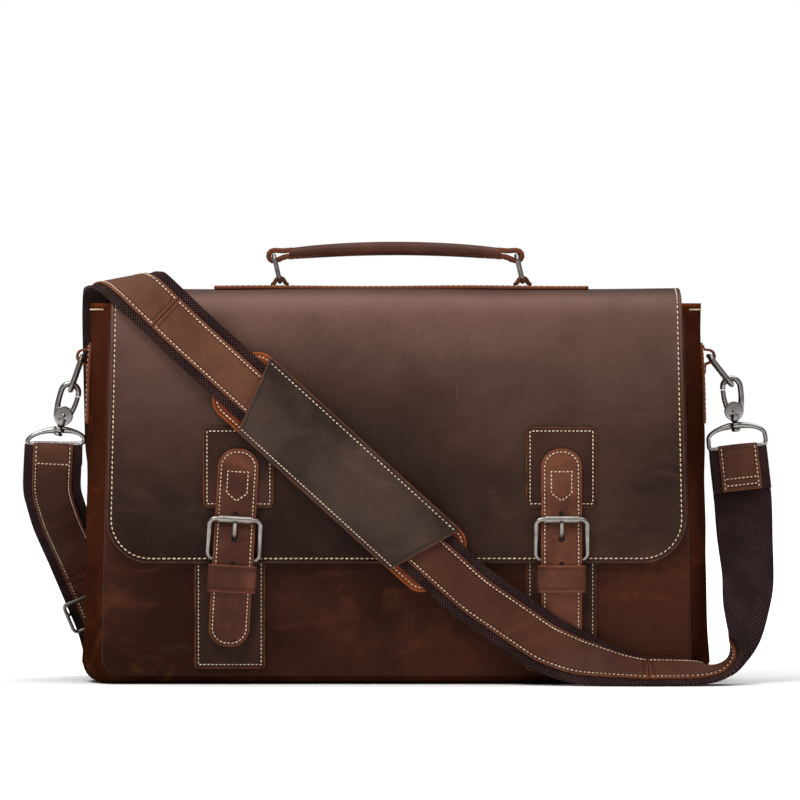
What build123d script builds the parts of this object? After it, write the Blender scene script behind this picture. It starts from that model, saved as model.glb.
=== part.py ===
from build123d import *
import os
from math import atan2, cos, degrees, radians, sin, sqrt

# A leather satchel bag: a soft body with a full flap, two buckled closures over hidden
# magnetic snaps, a top handle on wire rings, and a clipped shoulder strap with a pad.
# Millimetres, +Z up, -Y to the front. The origin is the centre of the base, on the floor.

# ---- body ----
panel_foot_half = 192.0     # half width of the front and back panels at the foot
panel_top_half = 187.0      # and at the mouth
bag_depth = 110.0           # outside of the front panel to outside of the back panel
mouth_z = 247.8             # top edge of the gusset and the panels
side_bow = 13.0             # how far the sides of the gusset belly out past the panels
base_lift = 5.0             # how far the foot of the panels stands off the floor
base_flat_half = 42.0       # half depth of the flat of the base
corner_radius = 11.0        # lower corners of the panels
leather = 2.4               # panels and flap
gusset_leather = 2.0
lining_cloth = 1.0
fit_gap = 0.3               # room between soft pieces that are not sewn face to face
divider_thickness = 8.0
divider_y = 14.0            # front face of the padded divider
divider_z = 205.0           # its top edge
pocket_width = 190.0
pocket_height = 120.0
pocket_foot_z = 95.0
pocket_cloth = 1.4
stiffener_thickness = 1.8
yoke_drop = 42.0            # how far the tail of the flap is sewn down the back
panel_dip = 8.0             # front panel's top edge below the mouth, under the flap's fold

# ---- flap ----
crest_z = 257.6             # top of the flap
crest_radius = 230.0
fold_radius = 14.0          # front fold
flap_bottom_z = 79.0
flap_top_half = 185.5
flap_foot_half = 189.0
flap_corner_radius = 29.0
flap_standoff = 3.4         # room between the front panel and the inside of the flap
flap_lining_cloth = 0.5
hinge_inset = 0.8           # flap leather behind the fold line at the back edge

# ---- closures ----
closure_x = (-102.7, 107.2)
closure_tilt = (3.3, 0.0)
patch_width = 46.0
patch_height = 52.5
patch_rise = 36.0           # foot of the flap patch above the foot of the flap
patch_radius = 3.5
patch_leather = 2.0
base_patch_foot_z = 10.4
base_patch_top_rise = 21.0  # top of the base patch above the foot of the flap
strap_width = 26.5
strap_leather = 2.2
strap_top_rise = 74.5
strap_tip_drop = 54.2
strap_end_radius = 9.0
strap_lift = 4.7            # how far the strap stands off the patch where it crosses the bar
strap_tip_lift = 1.4        # and at its tip
hole_radius = 1.6
hole_pitch = 16.0
prong_hole_rise = 16.0
prong_hole_radius = 3.3
buckle_wire = 1.6
buckle_half_width = 16.6
buckle_bar_rise = 2.5       # heel bar above the foot of the flap
buckle_span = 26.0          # heel bar to roller
roller_radius = 2.5
roller_half_length = 10.5
prong_half_width = 1.8
prong_thickness = 1.8
chape_half_width = 10.0
chape_leather = 1.2
chape_length = 21.0         # heel bar to the chape's foot
keeper_foot_drop = 19.0     # foot of the keeper below the foot of the flap
keeper_height = 17.8
keeper_leather = 1.95
snap_drop = 34.0            # centre of the snap below the foot of the flap
snap_radius = 9.0
socket_height = 2.4
socket_hole_radius = 4.3
stud_radius = 2.8
stud_disc_height = 3.0
stud_reach = 2.2
running_gap = 0.15
clear = 0.35                # room between a moving metal piece and leather

# ---- handle ----
strip_x = 3.5               # centre of the top strip
strip_length = 245.0
strip_width = 34.0
strip_leather = 1.8
loop_x = (-76.0, 83.0)
loop_radius = 5.4
loop_rise = 2.6             # pivot above the top strip
loop_half_width = 8.5
ring_wire = 1.5
ring_reach = 17.3           # lower bar to upper bar
ring_half_span = 14.0
ring_corner = 3.5
ring_lean = 13.0
handle_rise = 4.5           # how far the middle of the handle arches up
handle_half_width = 10.0
handle_strap_leather = 3.6
grip_height = 5.4
grip_half_length = 69.5
eyelet_radius = 5.0

# ---- side rings and snap hooks ----
tab_z = (169.0, 225.0)
tab_half_width = 12.5
tab_leather = 2.2
tab_bar_z = 213.0
tab_bar_out = 4.6           # ring pivot outside the face of the gusset
tab_loop_radius = 4.6
side_wire = 1.65
side_reach = 23.5
side_half_span = 14.0
side_lean = (19.5, 38.0)
hook_lean = (16.0, 6.0)
hook_half_thickness = 1.8
eye_radius = 5.8
eye_rise = 15.9             # centre of the eye's bend above the gate pin
boss_radius = 5.8
gate_boss_radius = 4.6
gate_sweep_radius = 14.3    # tip of the gate from its pin
nose_gap = 0.45
pin_radius = 1.4
eye_play = 0.8
post_radius = 1.7
knob_radius = 3.0
hub_radius = 4.0
bail_half_width = 18.6
bail_drop = 24.0            # gate pin to strap bar
bail_wire = 2.8

# ---- shoulder strap ----
web_width = 38.0
web_thickness = 3.2
pad_length = 192.0
pad_width = 50.5
pad_leather = 3.0
pad_radius = 12.0
cover_long = 167.0
cover_short = 133.0
cover_rail = 4.5
pad_clear = 2.1             # room between the pad and the closure strap's face
adjuster_half_width = 22.5
adjuster_half_height = 12.0
adjuster_bar = 2.6

# ---- worked out from the above ----
half_depth = bag_depth / 2
inner_half_depth = half_depth - leather
front_y = -half_depth
flap_inner_y = front_y - flap_standoff
flap_front_y = flap_inner_y - leather
crest_centre_z = crest_z - crest_radius
hinge_y = half_depth + leather - 0.9
hinge_z = crest_centre_z + sqrt((crest_radius - leather / 2) ** 2 - hinge_y ** 2)
patch_face_y = flap_front_y - patch_leather
base_patch_face_y = front_y - 2.2


def prism(sketch, y_near, y_far):
    """A sketch drawn in X and Z, carried from y_near back to y_far."""
    return extrude(Plane((0, y_far, 0), x_dir=(1, 0, 0), z_dir=(0, -1, 0)) * sketch, amount=y_far - y_near)


def slab(sketch, x_low, x_high):
    """A sketch drawn in Y and Z, carried from x_low to x_high."""
    return extrude(Plane((x_low, 0, 0), x_dir=(0, 1, 0), z_dir=(1, 0, 0)) * sketch, amount=x_high - x_low)


def block(low, high):
    """A box between two opposite corners."""
    size = [b - a for a, b in zip(low, high)]
    return Pos(*[(a + b) / 2 for a, b in zip(low, high)]) * Box(*size)


def polygon(points):
    return make_face(Polyline(*points, close=True))


def rod(start, end, radius):
    """A straight round bar between two points."""
    along = Vector(*end) - Vector(*start)
    return extrude(Plane(Vector(*start), z_dir=along) * Circle(radius), amount=along.length)


def wall_x(z):
    """Half width of the gusset's outer face at its widest, at a height."""
    share = (z - base_lift) / (mouth_z - base_lift)
    return panel_foot_half + (panel_top_half - panel_foot_half) * share + side_bow


def outline(inset, bow, foot_z, top_z):
    """The bag's front outline: a tapering panel with round lower corners, inset all round."""
    foot = panel_foot_half + bow - inset
    top = panel_top_half + bow - inset
    face = polygon([(-foot, foot_z), (foot, foot_z), (top, top_z), (-top, top_z)])
    return fillet(face.vertices().sort_by(Axis.Y)[:2], corner_radius)


def gusset_loft(inset, top_z):
    """The strip's outer or inner form: outlines that belly out towards the middle of the depth."""
    sections = []
    flat = base_flat_half / inner_half_depth
    for share in (-1.0, -flat, -flat / 2, 0.0, flat / 2, flat, 1.0):
        y = share * inner_half_depth
        bow = side_bow * (1 - share ** 2)
        slope = max(0.0, abs(y) - base_flat_half) / (inner_half_depth - base_flat_half)
        face = outline(inset, bow, base_lift * slope + inset, top_z)
        sections.append(Plane((0, y, 0), x_dir=(1, 0, 0), z_dir=(0, -1, 0)) * face)
    return loft(sections, ruled=True)


def make_body():
    front = prism(outline(0, 0, base_lift, mouth_z - panel_dip), front_y, -inner_half_depth)
    back = prism(outline(0, 0, base_lift, mouth_z), inner_half_depth, half_depth)
    gusset = gusset_loft(0, mouth_z) - gusset_loft(gusset_leather, mouth_z + 6)
    yoke = block((-flap_top_half, half_depth, mouth_z - yoke_drop), (flap_top_half, half_depth + leather, mouth_z - 0.4))
    lining_inset = gusset_leather + 1.0
    lining_foot = base_lift + gusset_leather + 0.4
    lining_half = inner_half_depth - fit_gap
    lining = prism(outline(lining_inset, 0, lining_foot, mouth_z - 2), -lining_half, lining_half)
    hollow = outline(lining_inset + lining_cloth, 0, lining_foot + lining_cloth, mouth_z + 2)
    lining -= prism(hollow, -lining_half + lining_cloth, lining_half - lining_cloth)
    inside = lining_inset + lining_cloth + fit_gap
    divider_face = outline(inside, 0, lining_foot + lining_cloth + fit_gap, divider_z)
    divider = prism(divider_face, divider_y, divider_y + divider_thickness)
    wall = -lining_half + lining_cloth
    pocket_low = (-pocket_width / 2, wall, pocket_foot_z)
    pocket = block(pocket_low, (pocket_width / 2, wall + pocket_cloth, pocket_foot_z + pocket_height))
    board_half = panel_foot_half - corner_radius
    board_z = gusset_leather + fit_gap
    board_y = base_flat_half - 1
    board = block((-board_half, -board_y, board_z), (board_half, board_y, board_z + stiffener_thickness))
    return {
        "front_panel": front, "back_panel": back, "gusset": gusset, "flap_yoke": yoke,
        "lining": lining, "laptop_divider": divider, "slip_pocket": pocket, "base_stiffener": board,
    }


def flap_edge(inset):
    """The flap's side view at a depth under its face: crest, front fold and front drop, as points."""
    radius = crest_radius - inset
    fold = fold_radius - inset
    drop_y = flap_front_y + inset
    fold_y = flap_front_y + fold_radius
    fold_z = crest_centre_z + sqrt((crest_radius - fold_radius) ** 2 - fold_y ** 2)
    turn = atan2(fold_z - crest_centre_z, -fold_y)
    half_turn = turn / 2
    back_y = hinge_y + hinge_inset
    return {
        "back": (back_y, crest_centre_z + sqrt(radius ** 2 - back_y ** 2)),
        "top": (0.0, crest_centre_z + radius),
        "meet": (-radius * cos(turn), crest_centre_z + radius * sin(turn)),
        "fold": (fold_y - fold * cos(half_turn), fold_z + fold * sin(half_turn)),
        "drop": (drop_y, fold_z),
        "foot": (drop_y, flap_bottom_z),
    }


def flap_shell(inset, thickness):
    """A sheet of a thickness that follows the flap's side view, cut to the flap's front outline."""
    outer, inner = flap_edge(inset), flap_edge(inset + thickness)
    edges = []
    for path in (outer, inner):
        edges.append(ThreePointArc(path["back"], path["top"], path["meet"]))
        edges.append(ThreePointArc(path["meet"], path["fold"], path["drop"]))
        edges.append(Line(path["drop"], path["foot"]))
    edges.append(Line(outer["back"], inner["back"]))
    edges.append(Line(outer["foot"], inner["foot"]))
    sheet = slab(make_face(edges), -flap_foot_half - 5, flap_foot_half + 5)
    top = crest_z + 5
    cut = polygon([(-flap_foot_half, flap_bottom_z), (flap_foot_half, flap_bottom_z),
                   (flap_top_half, top), (-flap_top_half, top)])
    cut = fillet(cut.vertices().sort_by(Axis.Y)[:2], flap_corner_radius)
    return sheet & prism(cut, flap_front_y - 5, half_depth + 10)


def make_flap():
    lining = flap_shell(leather, flap_lining_cloth)
    lining &= block((-400, -200, 0), (400, inner_half_depth - 14, 400))
    strip_z = crest_z
    strip = block((strip_x - strip_length / 2, -strip_width / 2, strip_z),
                  (strip_x + strip_length / 2, strip_width / 2, strip_z + strip_leather))
    return {"flap": flap_shell(0, leather), "flap_lining": lining, "top_strip": strip}


def closure_place(side):
    """The closure's own frame: upright on its axis, then leaned about the middle of its patch."""
    middle_z = flap_bottom_z + patch_rise + patch_height / 2
    return Pos(closure_x[side], 0, middle_z) * Rot(0, closure_tilt[side], 0) * Pos(0, 0, -middle_z)


def closure_strap():
    """The strap's leather: over the patch, out over the heel bar, and back in to the snap."""
    top_y = patch_face_y
    bar_y = top_y - strap_lift
    tip_y = top_y - strap_tip_lift
    z = flap_bottom_z
    back = [(top_y, z + strap_top_rise), (top_y, z + 33), (bar_y, z + 9), (bar_y, z - 19.5),
            (tip_y, z - 29), (tip_y, z - strap_tip_drop)]
    face = [(y - strap_leather, height) for y, height in reversed(back)]
    solid = slab(polygon(back + face), -strap_width / 2, strap_width / 2)
    low, high = z - strap_tip_drop, z + strap_top_rise
    shape = Pos(0, (low + high) / 2) * RectangleRounded(strap_width, high - low, strap_end_radius)
    solid &= prism(shape, bar_y - 10, top_y + 5)
    for step in (-2, -1, 0, 1):
        radius = prong_hole_radius if step == 0 else hole_radius
        hole_z = z + prong_hole_rise + step * hole_pitch
        solid -= rod((0, bar_y - 10, hole_z), (0, top_y + 5, hole_z), radius)
    return solid


def buckle_points():
    """Heel bar and roller bar centres, as (y, z)."""
    bar_y = patch_face_y - strap_lift + 3.4
    bar_z = flap_bottom_z + buckle_bar_rise
    roller_y = patch_face_y - 6.2
    return (bar_y, bar_z), (roller_y, bar_z + buckle_span)


def buckle_frame():
    (bar_y, bar_z), (roller_y, roller_z) = buckle_points()
    rise = sqrt((roller_y - bar_y) ** 2 + (roller_z - bar_z) ** 2)
    up = Vector(0, roller_y - bar_y, roller_z - bar_z).normalized()
    plane = Plane((0, (bar_y + roller_y) / 2, (bar_z + roller_z) / 2), x_dir=(1, 0, 0), z_dir=Vector(1, 0, 0).cross(up))
    return wire_ring(plane, buckle_half_width * 2, rise, 4.0, buckle_wire)


def wire_ring(plane, width, height, corner, radius):
    """A rounded rectangle of round wire in a plane, measured to the wire's centre."""
    path = plane * RectangleRounded(width, height, corner)
    wire = path.wires()[0]
    return sweep(Plane(wire @ 0, z_dir=wire % 0) * Circle(radius), path=wire)


def buckle_prong():
    (bar_y, bar_z), (roller_y, roller_z) = buckle_points()
    route = Polyline((bar_y, bar_z + 2.2), (bar_y + 1.5, bar_z + 9.5), (bar_y - 6.1, bar_z + 15.5),
                     (roller_y - 4.5, roller_z + 2.5))
    shape = trace(route, line_width=prong_thickness) + Pos(bar_y, bar_z) * Circle(3.1)
    shape -= Pos(bar_y, bar_z) * Circle(buckle_wire + running_gap)
    return slab(shape, -prong_half_width, prong_half_width)


def buckle_chape():
    (bar_y, bar_z), _ = buckle_points()
    back_y = patch_face_y - strap_lift
    face_y = back_y + chape_leather
    foot_z = bar_z - chape_length
    tail = polygon([(back_y, foot_z), (face_y, foot_z), (face_y, bar_z), (back_y, bar_z)])
    shape = tail + Pos(bar_y, bar_z) * Circle(buckle_wire + running_gap + chape_leather)
    shape -= Pos(bar_y, bar_z) * Circle(buckle_wire + running_gap)
    slot = prong_half_width + 0.6
    solid = slab(shape, -chape_half_width, chape_half_width)
    return solid - block((-slot, bar_y - 6, bar_z - 9), (slot, bar_y + 6, bar_z + 6))


def strap_keeper():
    front = patch_face_y - strap_lift - strap_leather - clear
    back = patch_face_y - strap_lift + chape_leather + fit_gap
    half = strap_width / 2 + clear
    wall = keeper_leather
    foot = flap_bottom_z - keeper_foot_drop
    outer = block((-half - wall, front - wall, foot), (half + wall, back + wall, foot + keeper_height))
    return outer - block((-half, front, foot - 1), (half, back, foot + keeper_height + 1))


def snap_pair():
    """The stud on the back of the strap and the socket on the base patch."""
    z = flap_bottom_z - snap_drop
    strap_back = patch_face_y - strap_tip_lift
    disc_front = strap_back + stud_disc_height
    stud = rod((0, strap_back, z), (0, disc_front, z), snap_radius)
    stud += rod((0, disc_front - 0.5, z), (0, disc_front + stud_reach, z), stud_radius)
    face = base_patch_face_y
    socket = rod((0, face - socket_height, z), (0, face, z), snap_radius)
    socket -= rod((0, face - socket_height - 1, z), (0, face - 0.4, z), socket_hole_radius)
    return stud, socket


def make_closure(side, name):
    place = closure_place(side)
    (_, _), (roller_y, roller_z) = buckle_points()
    roller = rod((-roller_half_length, roller_y, roller_z), (roller_half_length, roller_y, roller_z), roller_radius)
    roller -= rod((-30, roller_y, roller_z), (30, roller_y, roller_z), buckle_wire + running_gap)
    stud, socket = snap_pair()
    middle_z = flap_bottom_z + patch_rise + patch_height / 2
    patch = Pos(closure_x[side], middle_z) * RectangleRounded(patch_width, patch_height, patch_radius)
    snap_shift = sin(radians(closure_tilt[side])) * (middle_z - flap_bottom_z + snap_drop)
    low, high = base_patch_foot_z, flap_bottom_z + base_patch_top_rise
    base = Pos(closure_x[side] - snap_shift, (low + high) / 2) * RectangleRounded(patch_width, high - low, patch_radius)
    return {
        f"{name}_flap_patch": prism(patch, patch_face_y, flap_front_y),
        f"{name}_base_patch": prism(base, base_patch_face_y, front_y),
        f"{name}_closure_strap": place * closure_strap(),
        f"{name}_buckle_frame": place * buckle_frame(),
        f"{name}_buckle_roller": place * roller,
        f"{name}_buckle_prong": place * buckle_prong(),
        f"{name}_buckle_chape": place * buckle_chape(),
        f"{name}_strap_keeper": place * strap_keeper(),
        f"{name}_snap_stud": place * stud,
        f"{name}_snap_socket": place * socket,
    }


def make_handle():
    strip_top = crest_z + strip_leather
    pivot_z = strip_top + loop_rise
    shift = -ring_reach * sin(radians(ring_lean))
    bar_z = pivot_z + ring_reach * cos(radians(ring_lean))
    parts = {}
    for x, name in zip(loop_x, ("left", "right")):
        dome = Pos(x, strip_top) * Circle(loop_radius)
        dome &= Pos(x, strip_top + loop_radius) * Rectangle(4 * loop_radius, 2 * loop_radius)
        dome -= Pos(x, pivot_z) * Circle(ring_wire + clear)
        parts[f"{name}_handle_loop"] = prism(dome, -loop_half_width, loop_half_width)
        up = Vector(shift, 0, bar_z - pivot_z).normalized()
        middle = (x + shift / 2, 0, (pivot_z + bar_z) / 2)
        plane = Plane(middle, x_dir=(0, 1, 0), z_dir=Vector(0, 1, 0).cross(up))
        parts[f"{name}_handle_ring"] = wire_ring(plane, 2 * ring_half_span, ring_reach, ring_corner, ring_wire)
    ends = [x + shift for x in loop_x]
    middle_x = sum(ends) / 2
    under = -handle_strap_leather / 2 - 0.8
    strap = trace(handle_arc(ends[0], ends[1], bar_z + under, handle_rise), line_width=handle_strap_leather)
    for x in ends:
        strap += Pos(x, bar_z) * Circle(eyelet_radius)
    for x in ends:
        strap -= Pos(x, bar_z) * Circle(ring_wire + clear)
    parts["handle_strap"] = prism(strap, -handle_half_width, handle_half_width)
    over = grip_height / 2 - 0.75
    grip = trace(handle_arc(ends[0], ends[1], bar_z + over, handle_rise), line_width=grip_height)
    grip = prism(grip, -handle_half_width, handle_half_width)
    low, high = middle_x - grip_half_length, middle_x + grip_half_length
    parts["handle_grip"] = grip & block((low, -40, bar_z - 30), (high, 40, bar_z + 30))
    return parts


def handle_arc(left, right, end_z, rise):
    return ThreePointArc((left, end_z), ((left + right) / 2, end_z + rise), (right, end_z))


def side_points(side):
    """Ring pivot, ring lower bar and gate pin of one side, as (x, z), for the side with its sign."""
    sign = (-1, 1)[side]
    lean = radians(side_lean[side])
    drop = radians(hook_lean[side])
    pivot = (wall_x(tab_bar_z) + tab_bar_out, tab_bar_z)
    lower = (pivot[0] + side_reach * sin(lean), pivot[1] - side_reach * cos(lean))
    hang = eye_rise + eye_radius - hook_half_thickness - side_wire - eye_play
    pin = (lower[0] + hang * sin(drop), lower[1] - hang * cos(drop))
    bar = (pin[0] + bail_drop * sin(drop), pin[1] - bail_drop * cos(drop))
    return [(sign * x, z) for x, z in (pivot, lower, pin, bar)]


def hook_arm(points, closing_arc):
    route = Polyline(*points)
    shape = trace(route, line_width=2 * hook_half_thickness)
    if closing_arc:
        bend = Circle(eye_radius + hook_half_thickness) - Circle(eye_radius - hook_half_thickness)
        bend &= Pos(0, 10) * Rectangle(40, 20)
        shape += Pos(0, eye_rise) * bend
    return shape


def make_hook():
    """Hook, gate, pin and bail about the gate pin, gate on the -X side, hanging along -Z."""
    t = hook_half_thickness
    arm = hook_arm([(2.5, 0.5), (eye_radius, 6.5), (eye_radius, eye_rise)], True)
    arm += Pos(-eye_radius, eye_rise - 1) * Rectangle(2 * t, 2)
    arm -= Circle(gate_sweep_radius + nose_gap) & (Pos(-10, 10) * Rectangle(20, 20))
    body = prism(arm, -t, t) + rod((0, 0.1, 0), (0, t, 0), boss_radius)
    body += rod((0, 0, -8), (0, 0, -3), 3.2)
    body -= rod((0, -4, 0), (0, 0.1, 0), gate_boss_radius + 0.3)
    body += rod((0, 0, -7.9), (0, 0, -11.5), post_radius)
    body += rod((0, 0, -13.4), (0, 0, -11.2), knob_radius)
    body -= rod((0, -4, 0), (0, 4, 0), pin_radius + 0.05)
    gate_shape = hook_arm([(-2.5, 0.5), (-eye_radius, 6.5), (-eye_radius, eye_rise)], False)
    gate = prism(gate_shape, -t, t) + rod((0, -t, 0), (0, -0.1, 0), gate_boss_radius)
    gate &= rod((0, -4, 0), (0, 4, 0), gate_sweep_radius)
    gate -= rod((0, -0.1, 0), (0, 4, 0), boss_radius + 0.3)
    gate -= rod((0, -4, 0), (0, 4, 0), pin_radius + 0.05)
    pin = rod((0, -t - 0.6, 0), (0, t + 0.6, 0), pin_radius)
    pin += rod((0, -t - 0.9, 0), (0, -t - 0.1, 0), pin_radius + 0.9)
    half = bail_half_width
    loop = Polyline((0, -9.7), (8, -10.2), (half, -14.5), (half, -bail_drop), (-half, -bail_drop),
                    (-half, -14.5), (-8, -10.2), (0, -9.7))
    bail = prism(trace(loop, line_width=bail_wire), -bail_wire / 2, bail_wire / 2)
    bail += rod((0, 0, -10.9), (0, 0, -8.3), hub_radius)
    bail -= rod((0, 0, -14), (0, 0, -8), post_radius + 0.2)
    bail -= rod((0, 0, -14), (0, 0, -10.9), knob_radius + 0.3)
    return body, gate, pin, bail


def make_side(side, name):
    sign = (-1, 1)[side]
    pivot, lower, pin, _ = side_points(side)
    low_z, high_z = tab_z
    edge = [(sign * wall_x(low_z), low_z), (sign * wall_x(high_z), high_z)]
    shape = polygon(edge + [(x + sign * tab_leather, z) for x, z in reversed(edge)])
    shape += Pos(*pivot) * Circle(tab_loop_radius) & Pos(sign * (wall_x(tab_bar_z) + 10), tab_bar_z) * Rectangle(20, 20)
    shape -= Pos(*pivot) * Circle(side_wire + clear)
    tab = prism(shape, -tab_half_width, tab_half_width)
    up = Vector(pivot[0] - lower[0], 0, pivot[1] - lower[1]).normalized()
    middle = ((pivot[0] + lower[0]) / 2, 0, (pivot[1] + lower[1]) / 2)
    plane = Plane(middle, x_dir=(0, 1, 0), z_dir=Vector(0, 1, 0).cross(up))
    ring = wire_ring(plane, 2 * side_half_span + 4, side_reach, 4.0, side_wire)
    place = Pos(pin[0], 0, pin[1]) * Rot(0, -sign * hook_lean[side], 0)
    pieces = [piece if sign > 0 else mirror(piece, about=Plane.YZ) for piece in make_hook()]
    body, gate, gate_pin, bail = [place * piece for piece in pieces]
    return {
        f"{name}_side_tab": tab, f"{name}_side_ring": ring, f"{name}_hook_body": body,
        f"{name}_hook_gate": gate, f"{name}_gate_pin": gate_pin, f"{name}_hook_bail": bail,
    }


# The strap's run down the front is straight as far as the pad slides. The rest of the route
# is a list of points about the clips, the flap's corner and the floor.
diagonal_top = (-152.0, crest_z - 14.5)
diagonal_foot = (50.0, 59.0)
pad_share = 0.569           # centre of the pad, as a part of the straight run
diagonal_length = sqrt((diagonal_foot[0] - diagonal_top[0]) ** 2 + (diagonal_top[1] - diagonal_foot[1]) ** 2)
slope = [(low - high) / diagonal_length for low, high in zip(diagonal_foot, diagonal_top)]
diagonal_across = (-slope[1], 0, slope[0])
pad_back_y = patch_face_y - strap_leather - pad_clear
web_y = pad_back_y - pad_leather - fit_gap - web_thickness / 2


def on_diagonal(share, y):
    """A point part of the way down the straight run, at a depth."""
    run = diagonal_length * share
    return (diagonal_top[0] + slope[0] * run, y, diagonal_top[1] + slope[1] * run)


def clip_end(side, below):
    """A point of the strap below a clip's bar, in line with the hook, and the bar's direction."""
    lean = radians(hook_lean[side])
    sign = (-1, 1)[side]
    x, z = side_points(side)[3]
    reach = bail_wire / 2 + fit_gap + below
    return (x + sign * sin(lean) * reach, 0, z - cos(lean) * reach), (cos(lean), 0, sign * sin(lean))


def strap_route():
    """The strap from the left clip to the right one: (point, width direction, node that starts there)."""
    left, left_across = clip_end(0, 0)
    right, right_across = clip_end(1, 0)
    corner_x = -panel_top_half
    near = flap_front_y - web_thickness / 2 - 0.5
    floor_y = front_y - 25
    back_y = half_depth + leather + web_thickness
    foot_x, foot_z = diagonal_foot
    end_x = panel_foot_half
    lying = (0, 0.9, 0.43)
    return [
        (left, left_across, "shoulder_strap_left"),
        (clip_end(0, 7)[0], left_across, None),
        ((left[0] - 1.5, 13, left[2] - 21), (0.97, 0.1, -0.1), None),
        ((-wall_x(110) - 17, 37, 108), (0.95, 0.28, 0.05), None),
        ((corner_x - 23, back_y + 15, 78), (0.96, 0.12, 0.25), None),
        ((corner_x - 5, back_y + 35, 34), (0.96, 0.12, 0.25), None),
        ((corner_x, back_y + 37, 16), (1, 0.05, 0), None),
        ((corner_x + 6, back_y + 28, 2.8), (1, 0, 0), None),
        ((corner_x + 10, back_y + 16, 1.9), (1, 0, 0), "shoulder_strap_back"),
        ((corner_x + 13, back_y + 6, 14), (1, 0, 0), None),
        ((corner_x + 15, back_y + 2, 40), (1, 0, 0), None),
        ((corner_x + 13, back_y + 1, 100), (1, 0, 0), None),
        ((corner_x + 1, back_y + 1, mouth_z - 98), (1, 0, 0), None),
        ((corner_x - 1, back_y + 2, mouth_z - 8), (1, 0, 0.05), "shoulder_strap_turn"),
        ((corner_x - 0.5, hinge_y + 6, crest_z - 2), (0.98, 0, 0.12), None),
        ((corner_x, hinge_y - 9, crest_z + 4.5), (0.97, 0, 0.2), "shoulder_strap_crown"),
        ((corner_x + 2, hinge_y - 30, crest_z + 7), (0.96, 0.08, 0.26), None),
        ((corner_x + 6, -5, crest_z + 9), (0.93, 0.1, 0.33), None),
        ((corner_x + 13, front_y + 12, crest_z + 8), (0.86, 0.2, 0.47), None),
        ((corner_x + 22, flap_front_y - 4, crest_z + 2), (0.70, 0.1, 0.71), None),
        (on_diagonal(0.0, near), diagonal_across, "shoulder_strap_front"),
        (on_diagonal(0.07, web_y), diagonal_across, None),
        (on_diagonal(pad_share, web_y), diagonal_across, None),
        (on_diagonal(1.0, web_y), diagonal_across, None),
        ((foot_x + 22, web_y - 0.8, foot_z - 15), (0.62, 0, 0.78), None),
        ((foot_x + 47, web_y - 2.5, foot_z - 32.5), (0.5, 0.15, 0.85), None),
        ((foot_x + 68, web_y - 5, 18), (0.3, 0.45, 0.84), "shoulder_strap_foot"),
        ((foot_x + 91, floor_y, 12.8), (0.15, 0.82, 0.55), None),
        ((foot_x + 109, floor_y - 1, 9.8), lying, "shoulder_strap_floor"),
        ((end_x - 2, floor_y + 1, 9.8), lying, None),
        ((end_x + 20, floor_y + 9, 11), (-0.3, 0.86, 0.4), None),
        ((end_x + 31, floor_y + 21, 20), (-0.15, 0.9, -0.3), "shoulder_strap_right"),
        ((end_x + 36, floor_y + 35, 41), (0.5, 0.8, -0.35), None),
        ((end_x + 37, floor_y + 52, 66), (0.85, 0.5, -0.2), None),
        ((end_x + 36, floor_y + 67, 95), (0.97, 0.2, -0.1), None),
        ((right[0] + 4, -4, right[2] - 32), (1, 0, 0), None),
        (clip_end(1, 7)[0], right_across, None),
        (right, right_across, None),
    ]


def strap_section(point, across, along):
    """The strap's rectangular section at a station, square to the way it runs."""
    across = (across - along * across.dot(along)).normalized() * (web_width / 2)
    normal = along.cross(across).normalized() * (web_thickness / 2)
    corners = [point + across + normal, point - across + normal, point - across - normal, point + across - normal]
    return Wire.make_polygon(corners, close=True)


def make_strap():
    """The strap's nodes: ruled solids through the stations, with a little room between nodes."""
    route = strap_route()
    points = [Vector(*point) for point, _, _ in route]
    steps = [(b - a).normalized() for a, b in zip(points, points[1:])]
    ways = [steps[0]] + [(a + b).normalized() for a, b in zip(steps, steps[1:])] + [steps[-1]]
    across = [Vector(*w) for _, w, _ in route]
    starts = [i for i, (_, _, name) in enumerate(route) if name] + [len(route) - 1]
    nodes = {}
    for first, last in zip(starts, starts[1:]):
        sections = [strap_section(points[first] + ways[first] * fit_gap, across[first], ways[first])]
        sections += [strap_section(points[i], across[i], ways[i]) for i in range(first + 1, last + 1)]
        nodes[route[first][2]] = Solid.make_loft(sections, ruled=True)
    return nodes


def make_pad():
    """Base and cover of the pad, either side of the strap, centred where the two runs meet."""
    centre = on_diagonal(pad_share, 0)
    angle = degrees(atan2(-slope[1], slope[0]))
    place = Pos(centre[0], 0, centre[2]) * Rot(0, angle, 0)
    base_face = RectangleRounded(pad_length, pad_width, pad_radius)
    base = place * prism(base_face, pad_back_y - pad_leather, pad_back_y)
    half = pad_width / 2 - 0.75
    long_half, short_half = cover_long / 2, cover_short / 2
    cover_face = polygon([(-short_half, -half), (short_half, -half), (long_half, half), (-long_half, half)])
    inner_y = pad_back_y - pad_leather
    outer_y = inner_y - 2 * fit_gap - web_thickness
    cover = prism(cover_face, outer_y - pad_leather, outer_y)
    rails = cover_face - Rectangle(2 * pad_length, 2 * (half - cover_rail))
    cover += prism(rails, outer_y, inner_y)
    return {"pad_base": base, "pad_cover": place * cover}


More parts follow.
